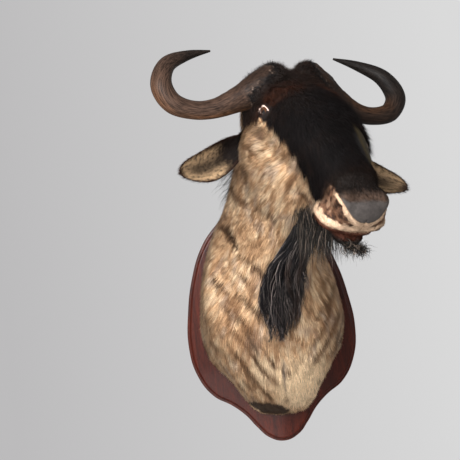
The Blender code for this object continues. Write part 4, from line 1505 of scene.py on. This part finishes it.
def beard_paths():
    """Wavy locks that leave the throat in rows and swing into one ragged tassel."""
    count = BEARD_STRANDS
    side_of = RANDOM.uniform(-1, 1, BEARD_LOCKS)
    row_of = RANDOM.uniform(0, 1, BEARD_LOCKS) ** 0.8
    end_of = 1.03 - 0.45 * RANDOM.random(BEARD_LOCKS) ** 1.6 - 0.10 * np.abs(side_of)
    phase_of = RANDOM.uniform(0, 2 * math.pi, BEARD_LOCKS)
    lock = RANDOM.integers(0, BEARD_LOCKS, count)
    side = side_of[lock] + RANDOM.normal(0, 0.11, count)
    row = np.clip(row_of[lock] + RANDOM.normal(0, 0.05, count), 0, 1)
    start = 0.62 * row - 0.02
    end = np.maximum(end_of[lock] + RANDOM.normal(0, 0.035, count), start + 0.25)
    t = np.linspace(0, 1, STRAND_STEPS)[None, :]
    at = start[:, None] + (end - start)[:, None] * t
    line = catmull_rom(BEARD_LINE, at)
    drawn = (side[:, None] - side_of[lock][:, None]) * (1 - 0.55 * t**2) + side_of[lock][:, None]
    phase = phase_of[lock][:, None] + RANDOM.normal(0, 0.25, (count, 1))
    wave = BEARD_WAVE * (0.25 + 0.75 * t)
    flick = RANDOM.normal(0, 0.010, BEARD_LOCKS)[lock][:, None] * t**3
    x = line[..., 0] + drawn * line[..., 3] * 1.05 + wave * np.sin(at * 17 + phase) + flick
    sunk = BEARD_DEPTH * row[:, None] * (1 - t) ** 0.6 + 0.016 * (side**2)[:, None]
    y = line[..., 1] + sunk + 0.8 * wave * np.cos(at * 13 + phase)
    stray = (RANDOM.random((count, 1)) < 0.06) * RANDOM.normal(0, 0.014, (count, 1)) * t**1.5
    z = np.broadcast_to(line[..., 2], x.shape) + 0.3 * wave * np.sin(at * 9 + 2 * phase)
    return np.stack([x + stray, y - np.abs(stray), z], axis=-1), lock


def beard_colours(lock):
    """Each lock is blacker or browner than the next, and a few hairs are paler: partly bleached hair, partly
    a painted sheen.
    """
    black, brown, worn = colours("#0b0a0b", "#1c1512", "#59514d")
    tone = smooth(0.55, 1.0, RANDOM.random(BEARD_LOCKS))[lock]
    coat = mix(black, brown, tone)
    return mix(coat, worn, 0.7 * (RANDOM.random(len(lock)) < 0.12))


def black_hair(count, pale_share=0.06):
    """A colour for each hair: black, and a share of them paler, partly bleached and partly a painted sheen.
    """
    black, worn = colours("#12100e", "#51463e")
    return mix(black, worn, (RANDOM.random(count) < pale_share).astype(float))


# Hair hangs straight down in the photograph, where the plaque leans a little
HANG = (-0.122, 0.0, -0.993)


def hanging(roots, headings, lengths, weight, steps=STRAND_STEPS, curl=0.0):
    """Hairs that leave their roots along headings and bend down under their weight."""
    paths = [roots]
    way = unit(headings)
    for k in range(1, steps):
        t = k / (steps - 1)
        swing = RANDOM.normal(0, curl, roots.shape)
        way = unit(way + np.array(HANG) * weight * t + swing)
        paths.append(paths[-1] + way * (lengths / (steps - 1))[:, None])
    return np.stack(paths, axis=1)


MANE_TOP = (0.085, -0.270, 0.555)
MANE_FOOT = (-0.004, -0.050, 0.300)
MANE_STRANDS = 1200
MANE_WIDTH = 0.0011


def mane_paths():
    """Hairs that leave the nape's ridge to both sides and fall over it, clear of the plaque."""
    count = MANE_STRANDS
    t = RANDOM.random(count)
    root = np.array(MANE_TOP) * (1 - t[:, None]) + np.array(MANE_FOOT) * t[:, None]
    root = root + RANDOM.normal(0, 1, (count, 3)) * np.array((0.010, 0.004, 0.004))
    side = RANDOM.uniform(-1, 1, count)
    heading = np.stack([0.9 * side, np.full(count, 0.55), np.full(count, 0.35)], axis=1)
    heading += RANDOM.normal(0, 0.12, (count, 3))
    paths = hanging(root, heading, RANDOM.uniform(0.06, 0.105, count), 0.55, curl=0.05)
    paths[..., 1] = np.minimum(paths[..., 1], -PLAQUE_THICKNESS - 0.006)
    return paths


def tuft_paths(line, numbers):
    """Hairs with roots spread along a line, and one heading that each strays from."""
    first, last, heading = line
    spread, low, high, weight, curl, count = numbers
    t = RANDOM.random((count, 1))
    roots = np.array(first) * (1 - t) + np.array(last) * t + RANDOM.normal(0, spread, (count, 3))
    headings = np.array(heading) + RANDOM.normal(0, 0.28, (count, 3))
    return hanging(roots, headings, RANDOM.uniform(low, high, count), weight, curl=curl)


# Loose hair: first root, last root and heading; then spread, shortest and longest, weight,
# curl and count; then width
TUFTS = {
    "throat": (
        ((0.092, -0.485, 0.275), (0.140, -0.560, 0.250), (0.0, -0.35, -1.0)),
        (0.010, 0.05, 0.11, 0.5, 0.12, 900),
        0.0010,
    ),
    "throat_lock": (
        ((0.088, -0.500, 0.330), (0.092, -0.490, 0.250), (-0.05, -0.4, -1.0)),
        (0.005, 0.06, 0.12, 0.5, 0.06, 260),
        0.0010,
    ),
    "chin": (
        ((0.148, -0.668, 0.198), (0.184, -0.680, 0.184), (0.25, -0.3, -0.8)),
        (0.005, 0.014, 0.034, 0.1, 0.40, 380),
        0.0010,
    ),
    "nape": (
        ((-0.052, -0.270, 0.330), (-0.038, -0.300, 0.450), (-1.0, 0.1, -0.45)),
        (0.010, 0.03, 0.062, 0.25, 0.08, 170),
        0.0007,
    ),
}
TUFT_PALE_SHARE = 0.12


def build_camera():
    data = bpy.data.cameras.new("camera")
    data.sensor_width = SENSOR
    data.lens = FOCAL_PIXELS / PICTURE_SIDE * SENSOR
    camera = new_object("camera", data)
    back = Vector((0.0, -1.0, 0.0))
    right = CAMERA_UP.cross(back).normalized()
    place = Matrix((right, CAMERA_UP.normalized(), back)).transposed().to_4x4()
    place.translation = CAMERA_PLACE
    camera.matrix_world = place
    bpy.context.scene.camera = camera


def area_light(name, place, target, size, power):
    data = bpy.data.lights.new(name, "AREA")
    data.size = size
    data.energy = power
    light = new_object(name, data)
    light.location = place
    light.rotation_euler = (Vector(target) - Vector(place)).to_track_quat("-Z", "Y").to_euler()


FLOOR_SIDE = 3.0
FLOOR_Z = -1.3

# Soft lamps: name, place, the point that it shines at, side and power in watts
LAMPS = (
    ("key", (-1.15, -3.0, 1.40), (0.05, -0.3, 0.1), 1.6, 480),
    ("low fill", (-0.5, -2.0, -1.1), (0.0, -0.2, -0.2), 1.2, 50),
    ("fill", (2.2, -2.4, 0.6), (0.05, -0.3, 0.2), 2.0, 45),
)


def build_studio():
    """A grey floor far below the mount, a pale surround and three soft lamps."""
    bm = bmesh.new()
    bmesh.ops.create_grid(bm, x_segments=1, y_segments=1, size=FLOOR_SIDE / 2)
    bmesh.ops.translate(bm, verts=bm.verts, vec=(0.0, -0.4, FLOOR_Z))
    mesh = mesh_from(bm, "floor")
    floor = new_object("floor", mesh)
    grey = (*linear("#9c9c9c"), 1)
    mesh.materials.append(principled("Grey floor paint", Base_Color=grey, Roughness=0.9)[0])
    for lamp in LAMPS:
        area_light(*lamp)
    world = bpy.data.worlds.new("surround")
    world.use_nodes = True
    tree = world.node_tree
    background = tree.nodes["Background"]
    # The wall behind is a little darker on the left: painted shade across the surround
    way = add_node(tree, "ShaderNodeTexCoord").outputs["Generated"]
    across = add_node(tree, "ShaderNodeSeparateXYZ", {0: way}).outputs["X"]
    tone = ramp(tree, ranged(tree, across, 0.0, 1.0, -0.23, 0.23), "#bcbbbc", "#dadada")
    tree.links.new(tone, background.inputs["Color"])
    background.inputs["Strength"].default_value = 1.0
    bpy.context.scene.world = world
    bpy.context.scene.view_settings.view_transform = "Standard"


def main():
    build_camera()
    build_studio()
    skin = skin_finish()
    tan_hair = {"roughness": 0.60, "shine": 0.04, "pale_share": 0.10, "pale": 0.2, "lie": 0.75}
    # On the black hair the far paler hairs are partly bleached and partly a painted sheen
    black_hair_look = {"roughness": 0.38, "shine": 0.06, "pale_share": 0.25, "pale": 1.6, "lie": 0.0}
    hair = hair_finish("Dry gnu hair, tan and cream", **tan_hair)
    black = hair_finish("Dry gnu hair, black", **black_hair_look)
    dress_hide(skin, hair, black)
    for side in (1, -1):
        ear_piece(side, skin, hair)
    keratin, glass = horn_finish(), eye_finish()
    for label, side in (("left", 1), ("right", -1)):
        horn_piece(f"horn_{label}", side, keratin, black)
        eye_piece(label, side, glass)
    paths, lock = beard_paths()
    strands_piece("beard", paths, beard_colours(lock), BEARD_WIDTH, black)
    for label, (line, numbers, width) in TUFTS.items():
        paths = tuft_paths(line, numbers)
        strands_piece(label, paths, black_hair(len(paths), TUFT_PALE_SHARE), width, black)
    paths = mane_paths()
    strands_piece("mane", paths, black_hair(len(paths)), MANE_WIDTH, black)
    plaque_piece(mahogany_finish())
    steel = steel_finish()
    for name in ("hanger_plate", "hanger_screw_top", "hanger_screw_bottom"):
        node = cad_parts[name]
        node.data.materials.clear()
        node.data.materials.append(steel)


main()
